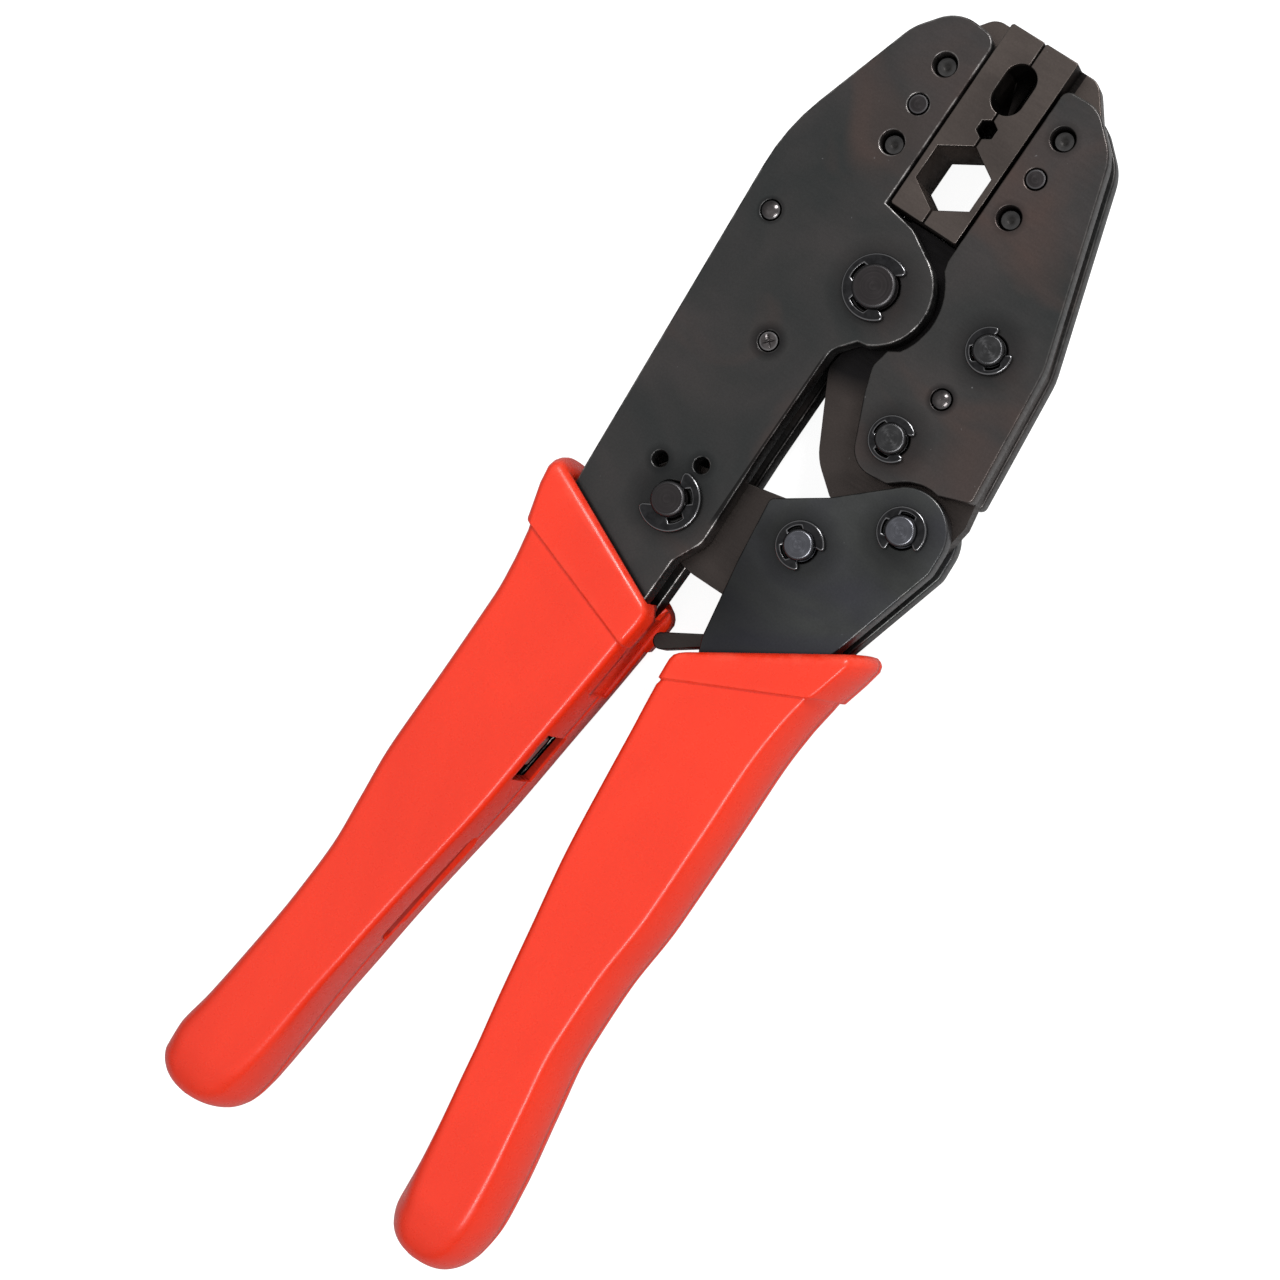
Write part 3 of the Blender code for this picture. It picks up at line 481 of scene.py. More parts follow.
def oxide(
    name, colours, rough, wear=(0.20, 0.19, 0.18), wear_amount=0.3, stains_and_shade=(), collar=None, highlight_spot=None,
    light_and_shade_boxes=(), metallic=0.9, grain=1.0,
):
    """Oxide-blacked steel: mottled tint, fine grain, worn edges, and oil stains round its pins.

    A dark patch is (x, y, radius, reach as a multiple of the radius, depth). Most are oil stains round pins;
    the wide one on the lever and the one at the handle plate's lower left are painted shade. The collar is
    the line of the grip's mouth, with a painted shadow along it. The highlight spot is (x, y, z, radius) of a
    spot whose edges are painted bright as a highlight; with it, all worn edges are pale. A box is (centre,
    half size, turn, amount, colour): each box paints shade, and a pale one paints light.
    """
    look = Look(bpy.data.materials.new(name))
    cloud = look.noise(46.0, 3.0, 0.5, 0.4)
    tint = look.noise(33.0, 3.0, 0.5, 0.8, look.stretched((1.0, 1.4, 1.0)))
    base = look.blend(look.remap(cloud, 0.35, 0.65, 0.0, 1.0), colours[0], colours[1])
    base = look.blend(look.remap(tint, 0.52, 0.72, 0.0, 0.85), base, colours[2])
    grit = look.noise(2600.0, 2.0, 0.6)
    base = look.blend(0.35, base, look.blend(grit, (0.6, 0.6, 0.6), (1.5, 1.5, 1.5)), "MULTIPLY")
    clean = 1.0
    # Dark patches: oil stains round pins, and painted shade where a table says so.
    for x, y, radius, reach, depth in stains_and_shade:
        apart = look.distance((x, y, 0.0), look.stretched((1.0, 1.0, 0.0)))
        dark_patch = look.remap(apart, radius * MM, radius * reach * MM, depth, 0.0)
        base = look.blend(dark_patch, base, STAIN_AND_SHADE)
        clean = look.calc("SUBTRACT", clean, dark_patch)
    # A painted shadow on the plate along the grip's collar line.
    if collar:
        (ax, ay), (bx, by) = collar
        normal = Vector((by - ay, ax - bx, 0.0)).normalized()
        depth = look.add("VectorMath", {0: look.place, 1: normal}, operation="DOT_PRODUCT").outputs["Value"]
        edge_at = normal.dot(Vector((ax, ay, 0.0))) * MM
        darkening = look.remap(depth, edge_at - 0.2 * MM, edge_at + 1.0 * MM, 0.85, 0.0)
        base = look.blend(darkening, base, COLLAR_PAINTED_SHADOW)
    dust = look.noise(1100.0, 1.0, 0.5)
    base = look.blend(look.remap(dust, 0.80, 0.86, 0.0, 0.5), base, (0.30, 0.30, 0.31))
    edge = look.edge()
    patchy = look.remap(look.noise(380.0, 4.0, 0.65), 0.42, 0.62, 0.0, 1.0)
    worn = look.times(look.times(edge, patchy), wear_amount)
    worn = look.times(worn, look.calc("MAXIMUM", clean, 0.0))
    # A painted highlight: the edges at one spot are painted bright, and all worn edges turn pale.
    if highlight_spot:
        *spot, radius = highlight_spot
        bright = look.remap(look.distance(spot), radius * MM, (radius + 0.8) * MM, 1.0, 0.0)
        worn = look.calc("MAXIMUM", worn, look.times(edge, bright))
        wear = (0.8, 0.78, 0.76)
    base = look.blend(worn, base, wear)
    # Boxes of painted shade, and of painted light where the colour is pale.
    for centre, half, turn, amount, colour in light_and_shade_boxes:
        base = look.blend(look.times(look.box_mask(centre, half, turn), amount), base, colour)
    sheen = look.noise(260.0, 3.0, 0.6, at=look.stretched((1.0, 7.0, 1.0)))
    scratch = look.noise(420.0, 2.0, 0.5, at=look.stretched((1.0, 26.0, 1.0)))
    height = look.calc("ADD", look.times(grit, 0.55), look.times(scratch, 0.45))
    return look.finish(
        base, look.remap(sheen, 0.3, 0.7, *rough), height, 0.22 * grain, 0.00006, Metallic=metallic,
    )


def spun(name, low, high, rough, anisotropic=0.9):
    """A turned steel face: concentric tool marks round the piece's own axis."""
    look = Look(bpy.data.materials.new(name))
    flat = look.stretched((1.0, 1.0, 0.0))
    radius = look.add("VectorMath", {0: flat}, operation="LENGTH").outputs["Value"]
    lines = look.calc("SINE", look.times(radius, 10400.0))
    band = look.noise(2600.0, 3.0, 0.6, at=look.add("CombineXYZ", {"X": radius}).outputs["Vector"])
    patch = look.noise(420.0, 3.0, 0.55)
    mixed = look.calc("ADD", look.times(band, 0.7), look.times(patch, 0.3))
    base = look.blend(look.remap(mixed, 0.35, 0.65, 0.0, 1.0), low, high)
    base = look.blend(look.times(look.edge(), 0.30), base, (0.22, 0.22, 0.23))
    height = look.calc("ADD", look.times(lines, 0.5), band)
    material = look.finish(
        base, look.remap(band, 0.3, 0.7, *rough), height, 0.2, 0.00005, Metallic=1.0, Anisotropic=anisotropic,
    )
    tangent = look.add("Tangent", direction_type="RADIAL", axis="Z").outputs["Tangent"]
    look.feed(look.tree.nodes["Principled BSDF"], "Tangent", tangent)
    return material


def wire(name, colour, rough, rim=0.5):
    """Drawn or hardened steel: fine lines, darker patches and a bright worn edge."""
    look = Look(bpy.data.materials.new(name))
    patch = look.noise(700.0, 4.0, 0.6)
    dark = tuple(c * 0.55 for c in colour)
    base = look.blend(look.remap(patch, 0.35, 0.65, 0.0, 1.0), dark, colour)
    base = look.blend(look.times(look.edge(), rim), base, (0.40, 0.40, 0.41))
    roughness = look.remap(patch, 0.3, 0.7, rough[1], rough[0])
    return look.finish(base, roughness, look.noise(3500.0, 2.0, 0.6), 0.2, 0.00004, Metallic=1.0)


def moulding(name, pockets=()):
    """Red moulded plastic: fine orange-peel skin, faint flow marks, worn edges and a few patches of dirt.

    A pocket is a box, as (centre, half size, turn, amount), inside which the plastic is in shadow.
    """
    look = Look(bpy.data.materials.new(name))
    flow = look.noise(45.0, 4.0, 0.55, 0.6, look.stretched((1.0, 0.35, 1.0)))
    base = look.blend(look.remap(flow, 0.3, 0.7, 0.0, 1.0), (0.76, 0.028, 0.0065), (0.86, 0.036, 0.0085))
    speckle = look.blend(look.noise(2400.0, 2.0, 0.6), (0.72, 0.72, 0.72), (1.25, 1.25, 1.25))
    base = look.blend(0.25, base, speckle, "MULTIPLY")
    rub = look.times(look.edge(), look.remap(look.noise(300.0, 4.0, 0.6), 0.4, 0.6, 0.0, 0.5))
    base = look.blend(rub, base, (0.95, 0.10, 0.055))
    darkening = look.remap(look.noise(160.0, 5.0, 0.7, 0.5), 0.62, 0.80, 0.0, 0.09)
    base = look.blend(darkening, base, (0.42, 0.02, 0.01))
    for centre, half, turn, amount in pockets:
        base = look.blend(look.times(look.box_mask(centre, half, turn), amount), base, (0.10, 0.008, 0.008))
    roughness = look.remap(look.noise(520.0, 3.0, 0.6), 0.3, 0.7, 0.24, 0.34)
    peel = look.add("TexVoronoi", {"Vector": look.place, "Scale": 1500.0}, feature="SMOOTH_F1")
    skin = look.calc("ADD", look.times(peel.outputs["Distance"], 0.5), look.noise(1900.0, 3.0, 0.6))
    return look.finish(
        base, roughness, skin, 0.5, 0.000025, IOR=1.48, Subsurface_Weight=0.06,
        Subsurface_Radius=(0.0015, 0.0004, 0.0002),
    )


# A pin's usual oil stain: how far it reaches, as a multiple of the radius, and how dark it is.
HALO = (1.7, 0.42)
FRAME_HALOS = [
    (*RIVET_UPPER, 1.75, 1.5, 0.8), (*RIVET_LOWER, 1.9, 1.9, 0.75), (*MAIN, 5.4, *HALO),
    (*ADJUSTER, 5.2, *HALO), (*LOCK_SCREW, 1.7, *HALO), (*SPARE_HOLE, 1.7, *HALO),
]
JAW_HALOS = [(*JAW_PIN_UPPER, 4.4, *HALO), (*JAW_PIN_LOWER, 4.4, *HALO), (*JAW_RIVET, 1.8, 1.6, 0.8)]
JAW_HALOS += [(x, y, 2.0, *HALO) for x, y in DIE_SCREWS if x > 0.0]
# The handle's last patch is painted shade: the plate darker towards its lower left.
HANDLE_STAINS_AND_SHADE = [(*HANDLE, 4.6, *HALO), (*TOGGLE, 4.6, *HALO), (6.0, -58.0, 2.0, 12.0, 0.78)]
# Painted shade on the lever round the main pivot, where it lies deep between the plates.
LEVER_PAINTED_SHADE = [(*MAIN, 14.6, 1.3, 0.9)]
BLACKS = ((0.040, 0.042, 0.042), (0.064, 0.058, 0.057), (0.089, 0.062, 0.055))
BLUES = ((0.030, 0.031, 0.031), (0.072, 0.075, 0.073), (0.050, 0.050, 0.062))
LINKS = ((0.046, 0.038, 0.035), (0.060, 0.049, 0.045), (0.038, 0.032, 0.030))
BROWNS = ((0.080, 0.066, 0.060), (0.100, 0.082, 0.074), (0.060, 0.050, 0.046))

# The frame: painted shadow along the grip's collar, a painted highlight on the edges in the grip's window,
# and painted shade along the plate's right edge.
frame_oxide = oxide(
    "frame_black_oxide", BLACKS, (0.30, 0.42), stains_and_shade=FRAME_HALOS, collar=((-0.3, -66.0), (-30.5, -53.6)),
    highlight_spot=(-4.2, -97.6, 14.0, 4.2), light_and_shade_boxes=[((-0.3, -31.0, 11.0), (0.65, 17.5, 8.0), 0.0, 0.8, PAINTED_SHADE)],
)
jaw_oxide = oxide("jaw_black_oxide", BLACKS, (0.30, 0.42), stains_and_shade=JAW_HALOS)
# The handle: painted shadow along the grip's collar.
handle_oxide = oxide(
    "handle_black_oxide", BLUES, (0.28, 0.40), stains_and_shade=HANDLE_STAINS_AND_SHADE, collar=((35.3, -50.9), (7.5, -69.1)),
)
link_oxide = oxide("link_brown_oxide", LINKS, (0.34, 0.50), wear_amount=0.6, grain=1.6)
lever_oxide = oxide("lever_brown_oxide", LINKS, (0.34, 0.50), wear_amount=0.6, stains_and_shade=LEVER_PAINTED_SHADE, grain=1.6)
pawl_oxide = oxide(
    "pawl_black_oxide", ((0.032, 0.028, 0.027), (0.042, 0.036, 0.034), (0.026, 0.024, 0.023)), (0.28, 0.40),
    grain=1.4,
)
# Painted shade on the dies' sides and in the oval and small hex nests; painted light on the big hexagon's
# walls.
DIE_LIGHT_AND_SHADE = [
    ((DIE_MID - 7.15, 31.0, 10.0), (0.55, 20.0, 12.0), 0.0, 0.9, PAINTED_SHADE),
    ((DIE_MID + 7.15, 31.0, 10.0), (0.55, 20.0, 12.0), 0.0, 0.9, PAINTED_SHADE),
    ((DIE_MID, OVAL_Y, 8.2), (3.1, 5.1, 8.5), 0.0, 0.92, PAINTED_SHADE),
    ((DIE_MID, SMALL_HEX_Y, 8.2), (2.0, 2.2, 8.5), 0.0, 0.92, PAINTED_SHADE),
    ((DIE_MID, HEX_Y, 8.2), (5.8, 7.0, 8.5), 0.0, 0.6, (0.26, 0.20, 0.17)),
]
die_oxide = oxide("die_brown_oxide", BROWNS, (0.30, 0.44), wear_amount=0.35, light_and_shade_boxes=DIE_LIGHT_AND_SHADE)
bright_steel = oxide(
    "bright_spacer_steel", ((0.42, 0.41, 0.40), (0.52, 0.51, 0.50), (0.36, 0.33, 0.30)), (0.22, 0.36),
    wear=(0.6, 0.6, 0.6), metallic=1.0,
)
pin_face = spun("spun_pin_steel", (0.075, 0.077, 0.087), (0.125, 0.128, 0.145), (0.22, 0.30))
jaw_pin_face = spun("jaw_pin_steel", (0.036, 0.036, 0.037), (0.066, 0.066, 0.068), (0.28, 0.38))
dull_face = spun(
    "dull_pin_steel", (0.034, 0.031, 0.032), (0.050, 0.045, 0.046), (0.34, 0.46), 0.4,
)
screw_steel = wire("black_screw_steel", (0.045, 0.043, 0.042), (0.30, 0.45), 0.12)
rivet_steel = wire("rivet_steel", (0.12, 0.11, 0.11), (0.16, 0.28), 0.3)
ring_steel = wire("ring_spring_steel", (0.034, 0.034, 0.036), (0.13, 0.22), 0.42)
coil_steel = wire("coil_spring_wire", (0.34, 0.33, 0.31), (0.22, 0.34))
red_plastic = moulding("red_moulded_plastic")
fixed_plastic = moulding("red_moulded_plastic_fixed", [
    ((-6.1, -98.4, 12.6), (2.6, 5.4, 5.0), -5.0, 0.85), ((-1.45, -71.84, 13.9), (0.5, 12.3, 0.9), -5.0, 0.8),
    ((-9.1, -129.0, 10.6), (1.5, 12.7, 2.3), -6.8, 0.6),
])


def put(obj, body, material, slot, *nodes):
    """Gives a piece its material and body, and lets it stand for its CAD nodes."""
    obj.data.materials.clear()
    obj.data.materials.append(material)
    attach(obj, body)
    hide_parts(*nodes)
    return obj


# ---------------------------------------------------------------- plates

def frame_outline(lug):
    """The frame plate. On the front one a lug stands in the grip's window."""
    corners = [
        (DIE_MID - SEAT_X, 44.9, 2.6), (-15.2, 45.7, 7.0), (-20.5, 39.4, 9.5), (-29.2, 14.0, 36.0),
        (-24.9, -54.6), (-22.3, -74.0), (-22.2, -108.0), (-20.8, -124.0),
        (-21.4, -146.0, 2.0), (-13.6, -146.0, 2.0), (-9.9, -125.0), (-5.7, -103.0),
    ]
    if lug:
        corners += [(-5.5, -101.4), (-4.5, -100.6, 0.5), (-3.8, -94.8, 0.5), (-4.7, -94.2)]
    corners += [
        (-4.0, -88.0), (-3.4, -76.0), (-2.6, -68.0), (-2.4, -56.8, 2.5), (0.2, -51.6, 4.0),
        (-0.3, -33.0), (-0.3, -12.6, 3.0), (2.6, -9.1),
    ]
    corners += arc(MAIN, 9.8, -64.0, 66.0)
    if lug:
        corners += [(-0.3, 11.4, 4.0), (DIE_MID - SEAT_X, DIE_LOW - 0.5)]
    else:
        corners += [(-0.3, 12.6, 0.8), (-2.0, DIE_LOW - 0.1), (DIE_MID - SEAT_X, DIE_LOW - 0.1)]
    return rounded(corners)


def cheek_outline():
    """One of the two plates of the moving jaw."""
    corners = [
        (34.3, -20.6, 1.2), (31.6, 4.0, 12.0), (20.3, 38.6, 9.0), (14.0, 44.2, 5.5),
        (DIE_MID + SEAT_X, 44.0, 1.6), (DIE_MID + SEAT_X, 10.2), (8.0, 8.4),
    ]
    corners += arc(MAIN, 11.5, 38.0, -34.0)
    corners += [(7.7, -7.5), (7.0, -11.0, 2.5), (8.6, -15.6, 5.0), (13.6, -26.6, 5.0), (20.4, -25.8, 1.5)]
    corners += arc(HANDLE, 8.3, 122.0, 80.0)
    return rounded(corners)


def lever_outline():
    """The thick middle plate of the moving jaw, from the main pivot to the handle."""
    corners = arc(MAIN, 9.4, 112.0, 262.0)
    corners += [
        (0.3, -11.0), (-0.3, -15.2, 3.0), (3.4, -22.0, 12.0), (7.2, -28.9, 10.0), (12.6, -33.0, 1.5),
        (22.0, -34.9),
    ]
    corners += arc(HANDLE, 6.5, -130.0, 0.0)
    corners += [
        (34.8, -24.6, 1.0), (33.6, -18.0), (31.2, 3.4, 1.0), (28.0, 12.7, 1.0), (-2.6, 12.75),
    ]
    return rounded(corners)


def handle_outline():
    """The handle plate, down to the end of its tang."""
    corners = arc(HANDLE, 7.6, 5.0, 124.0)
    corners += [
        (13.8, -33.0, 3.0), (5.4, -38.8, 1.2), (6.8, -50.0), (9.3, -64.5), (11.6, -70.0),
        (12.2, -78.0), (13.6, -92.0), (15.4, -107.0), (17.2, -120.0),
        (21.0, -146.0, 2.0), (29.4, -146.0, 2.0), (26.8, -128.0), (27.2, -108.0),
        (27.0, -78.0), (28.0, -60.0), (35.2, -34.0, 4.0),
    ]
    return rounded(corners)


def toggle_outline():
    """The link from the adjuster to the handle, with the ratchet's teeth round its lower end."""
    outline = arc(ADJUSTER, 7.5, 105.0, 262.0)
    outline += [(-6.2, -56.6), (0.6, -57.2), (6.6, -57.0)]
    outline += arc(TOGGLE, 15.6, -112.0, -80.0, 5.0)
    for i in range(11):
        start = -76.0 + i * 4.6
        outline.append(polar(TOGGLE, 16.2, start))
        outline.append(polar(TOGGLE, 16.1, start + 0.5))
        outline.append(polar(TOGGLE, 15.0, start + 3.45))
    outline += arc(TOGGLE, 6.6, -12.0, 100.0)
    return outline


def pawl_outline():
    """The pawl, with its tip upward and its release arm to the left."""
    corners = arc(PAWL, 3.1, -150.0, 10.0)
    corners += [(20.6, -61.8), (20.7, -58.9), (18.0, -61.8), (12.6, -61.6, 2.0), (8.6, -64.0)]
    corners += arc((2.5, -69.6), 1.5, 125.0, 300.0, 10.0)
    corners += [(9.0, -66.6), (11.6, -65.4)]
    return rounded(corners)


def wheel_outline():
    """The adjuster wheel: ten hollows that the lock screw can sit in."""
    outline = []
    first = math.degrees(math.atan2(LOCK_SCREW[1] - ADJUSTER[1], LOCK_SCREW[0] - ADJUSTER[0]))
    for i in range(10):
        turn = first + 36.0 * i
        outline += arc(ADJUSTER, 7.4, turn - 21.5, turn - 14.5, 4.0)
        hollow = polar(ADJUSTER, 7.5, turn)
        outline += arc(hollow, 2.05, turn - 100.0, turn - 260.0, 20.0)
    return outline


# Radii of the pins and rivets, and of the holes that take the smaller parts.
main_r, adjuster_r, pin_r, rivet_r = 3.8, 3.1, 2.7, 1.7
SCREW_HOLE, DOWEL_HOLE, TANG_HOLE = 2.1, 1.85, 1.95
seat_holes = [circle(spot, SCREW_HOLE) for spot in DIE_SCREWS]
seat_holes += [circle(spot, DOWEL_HOLE) for spot in DIE_DOWELS]
left_holes = [hole for hole in seat_holes if hole[0][0] < 0.0]
right_holes = [hole for hole in seat_holes if hole[0][0] > 0.0]
tang_holes = [circle(spot, TANG_HOLE, 24) for spot in TANG_RIVETS]
grip_holes = [circle(spot, TANG_HOLE, 24) for spot in HANDLE_RIVETS]
frame_holes = [
    circle(MAIN, main_r + 0.25), circle(ADJUSTER, adjuster_r + 0.25), circle(RIVET_UPPER, rivet_r + 0.1),
    circle(RIVET_LOWER, rivet_r + 0.1), circle(LOCK_SCREW, 1.4, 32), circle(SPARE_HOLE, 1.4, 32),
    circle(SPRING_ANCHOR, 1.5, 24),
] + tang_holes + left_holes
jaw_holes = [
    circle(JAW_PIN_UPPER, pin_r + 0.2), circle(JAW_PIN_LOWER, pin_r + 0.2), circle(JAW_RIVET, rivet_r + 0.1),
]
lever_holes = jaw_holes + [circle(MAIN, main_r + 0.25), circle(HANDLE, pin_r + 0.25)]
handle_holes = [
    circle(HANDLE, pin_r + 0.2), circle(TOGGLE, pin_r + 0.2), circle(PAWL, 1.7, 24),
] + grip_holes
pawl_holes = [circle(PAWL, 1.75, 24)]
wheel_holes = [circle(ADJUSTER, adjuster_r + 0.2)]
spacer_holes = [circle(RIVET_UPPER, TANG_HOLE, 24)]
toggle_holes = [
    circle(ADJUSTER, adjuster_r + 0.25), circle(TOGGLE, pin_r + 0.9), circle((-5.0, -54.5), 0.8, 24),
]

upper_spacer = rounded([
    (-26.4, 9.0, 2.0), (-27.0, 0.0, 2.0), (-25.0, -34.0, 2.0), (-19.5, -34.0, 2.0), (-17.5, -12.0, 4.0),
    (-13.5, 2.0, 4.0), (-16.0, 11.0, 1.5),
])
tang_spacer = rounded([
    (-21.6, -70.0, 1.5), (-21.4, -108.0), (-20.0, -124.0), (-20.6, -143.0, 1.5), (-14.2, -143.0, 1.5),
    (-11.4, -125.0), (-9.0, -108.0), (-8.2, -96.0, 1.5), (-15.6, -94.0, 1.5), (-15.6, -70.0, 1.5),
])
handle_spacer = rounded([
    (13.2, -80.0, 1.5), (25.8, -80.0, 1.5), (26.0, -108.0), (25.6, -128.0), (28.0, -144.0, 1.5),
    (21.8, -143.0, 1.5), (18.4, -120.0), (16.4, -107.0), (14.6, -92.0),
])


def plate(node, outline, holes, levels, bevel, body, material, slot, hole_bevel=0.25):
    """A flat piece between two heights, in the place of its CAD node."""
    piece = slab(node + "_detail", outline, holes, *levels, bevel, hole_bevel)
    put(piece, body, material, slot, node)


for layer, levels in (("front", (FRONT_LOW, FRONT_HIGH)), ("back", (BACK_LOW, BACK_HIGH))):
    for part, outline, holes, body, material in (
        ("frame", frame_outline(layer == "front"), frame_holes, "frame", frame_oxide),
        ("jaw", cheek_outline(), jaw_holes + right_holes, "moving_jaw", jaw_oxide),
        ("handle", handle_outline(), handle_holes, "moving_handle", handle_oxide),
    ):
        plate(f"{part}_{layer}_plate", outline, holes, levels, 0.4, body, material, "black_oxide_plate", 0.3)

link_slot, hidden_slot = "brown_oxide_link", "hidden_bright_steel"
wheel_levels = heights("adjuster_wheel")
for row in (
    ("jaw_lever", lever_outline(), lever_holes, MIDDLE, 0.0, "moving_jaw", lever_oxide, link_slot),
    ("toggle_link", toggle_outline(), toggle_holes, MIDDLE, 0.2, "toggle_link", link_oxide, link_slot),
    ("ratchet_pawl", pawl_outline(), pawl_holes, MIDDLE, 0.3, "ratchet_pawl", pawl_oxide, link_slot),
    ("adjuster_wheel", wheel_outline(), wheel_holes, wheel_levels, 0.2, "frame", dull_face, "pin_steel"),
    ("frame_upper_spacer", upper_spacer, spacer_holes, MIDDLE, 0.3, "frame", link_oxide, link_slot),
    ("frame_tang_spacer", tang_spacer, tang_holes, MIDDLE, 0.3, "frame", bright_steel, hidden_slot),
    ("handle_spacer", handle_spacer, grip_holes, MIDDLE, 0.3, "moving_handle", bright_steel, hidden_slot),
):
    plate(*row)


# ---------------------------------------------------------------- dies

def half_hex(side, y, radius):
    """A hexagon's corners on one side of the split, from its lower end to its upper end."""
    near = side * SPLIT
    drop = SPLIT / math.sqrt(3.0)
    across = side * radius * math.cos(math.radians(30.0))
    return [
        (DIE_MID + near, y - radius + drop), (DIE_MID + across, y - radius / 2.0),
        (DIE_MID + across, y + radius / 2.0), (DIE_MID + near, y + radius - drop),
    ]


def half_oval(side, y, reach, radius):
    """The same of an oval with two round ends."""
    near = math.degrees(math.acos(SPLIT / radius))
    points = arc((DIE_MID, y - reach), radius, -near, 0.0, 8.0)
    points += arc((DIE_MID, y + reach), radius, 0.0, near, 8.0)
    return [(DIE_MID + side * (x - DIE_MID), point_y) for x, point_y in points]


def make_die(name, side, body):
    """A die half of full thickness, with a tongue between the plates and a floor under its oval nest."""
    split = DIE_MID + side * SPLIT
    outer = DIE_MID + side * DIE_HALF
    outline = [(outer, DIE_LOW + 0.3), (outer - side * 0.3, DIE_LOW), (split + side * 0.2, DIE_LOW)]
    outline += [(split, DIE_LOW + 0.2)]
    outline += half_hex(side, HEX_Y, HEX_RADIUS) + half_hex(side, SMALL_HEX_Y, SMALL_HEX_RADIUS)
    outline += half_oval(side, OVAL_Y, 1.8, 2.8)
    outline += [(split, DIE_HIGH - 0.2), (split + side * 0.2, DIE_HIGH), (outer - side * 0.3, DIE_HIGH)]
    outline += [(outer, DIE_HIGH - 0.3)]
    die = slab(name + "_detail", outline, [], BACK_LOW, FRONT_HIGH, 0.22)
    tongue = rounded([
        (side * 6.0, 14.2), (side * 16.8, 14.2, 1.0), (side * 16.8, 40.4, 3.0), (side * 10.4, 48.4, 3.2),
        (side * 6.0, 48.4),
    ])
    holes = [circle(spot, SCREW_HOLE, 32) for spot in DIE_SCREWS if spot[0] * side > 0.0]
    holes += [circle(spot, DOWEL_HOLE, 32) for spot in DIE_DOWELS if spot[0] * side > 0.0]
    wing = slab(name + "_wing", tongue, holes, MID_LOW, MID_HIGH, 0.25)
    far = DIE_MID + side * FLOOR_HALF[0]
    low, high = OVAL_Y - FLOOR_HALF[1], OVAL_Y + FLOOR_HALF[1]
    corners = [(split, low), (split, high), (far, high), (far, low)]
    shelf = slab(name + "_shelf", corners, [], *FLOOR_LEVELS, 0.0)
    cut(die, [wing, shelf], "UNION")
    shade(die.data)
    put(die, body, die_oxide, "die_steel", name)


make_die("fixed_die", -1.0, "frame")
make_die("moving_die", 1.0, "moving_jaw")


# ---------------------------------------------------------------- pins, rings, rivets and screws

def groove_top(radius, top, face, chamfer):
    """The front end of a pin: a spun face, a chamfer, and the groove that its ring sits in."""
    height = top + face
    return [
        (0.0, height - 0.02), (radius * 0.35, height), (radius - chamfer - 0.12, height),
        (radius - chamfer, height - 0.03, 0.7),
        (radius - chamfer * 0.3, height - chamfer * 0.55, 1.0), (radius, height - chamfer * 1.15, 0.6),
        (radius, top + 1.15), (radius - 0.6, top + 1.1), (radius - 0.6, top + 0.15),
        (radius, top + 0.1),
    ]


def back_head(radius, low, high):
    """The back end of a pin: a low head with a rounded rim and a spun face."""
    return [
        (radius, high), (radius + 1.0, high, 0.4), (radius + 1.2, high - 0.2, 0.6),
        (radius + 1.2, low + 0.5, 0.3), (radius + 1.05, low + 0.2, 1.0), (radius + 0.75, low, 0.5),
        (radius * 0.5, low), (radius * 0.2, low + 0.05), (0.0, low + 0.25),
    ]


def ring_outline(axis, outer, seat, facing, opening):
    """An E ring: three lands on the groove, two pockets between them, and rounded horns at the mouth."""
    pocket = seat + (outer - seat) * 0.45
    step = (seat + pocket) / 2.0
    first, last = facing + opening, facing + 360.0 - opening
    horn = (outer - seat) * 0.3
    lean = math.degrees(horn / outer)
    outline = arc(axis, outer, first + lean, last - lean, 4.0)
    outline += [polar(axis, outer - horn * 0.3, last - lean * 0.3), polar(axis, outer - horn, last)]
    span = (last - first) / 3.0
    for i in range(3):
        start = last - span * i
        outline += arc(axis, seat, start - (0.0 if i else lean), start - span * 0.36, 4.0)
        if i < 2:
            outline += [polar(axis, step, start - span * 0.41)]
            outline += arc(axis, pocket, start - span * 0.46, start - span * 0.92, 4.0)
            outline += [polar(axis, step, start - span * 0.96)]
    outline += arc(axis, seat, start - span * 0.36, first + lean, 4.0)
    outline += [polar(axis, outer - horn, first), polar(axis, outer - horn * 0.3, first + lean * 0.3)]
    return outline


def pin_with_ring(node, axis, radius, ring_radius, facing, opening, body, face_material):
    """A pin with a head behind and an E ring in front, whose mouth opens to both sides of its facing."""
    top = FRONT_HIGH
    low, high = heights(node)
    if node == "adjuster_pin":
        foot = [
            (radius, 0.9), (radius + 0.75, 0.9, 0.5), (radius + 0.9, 0.75, 1.0), (radius + 0.9, 0.45, 0.5),
            (radius + 0.7, low, 0.5), (radius * 0.4, low), (0.0, low + 0.1),
        ]
    else:
        foot = back_head(radius, low, BACK_LOW - 0.3)
    pin = turned(node + "_detail", axis, groove_top(radius, top, high - top, 0.45) + foot, 72)
    put(pin, body, face_material, "pin_steel", node)
    outline = ring_outline(axis, ring_radius, radius - 0.45, facing, opening)
    ring = slab(node + "_ring_detail", outline, [], top + 0.25, top + 1.0, 0.36, steps=4)
    put(ring, body, ring_steel, "retaining_ring_steel", node + "_ring")


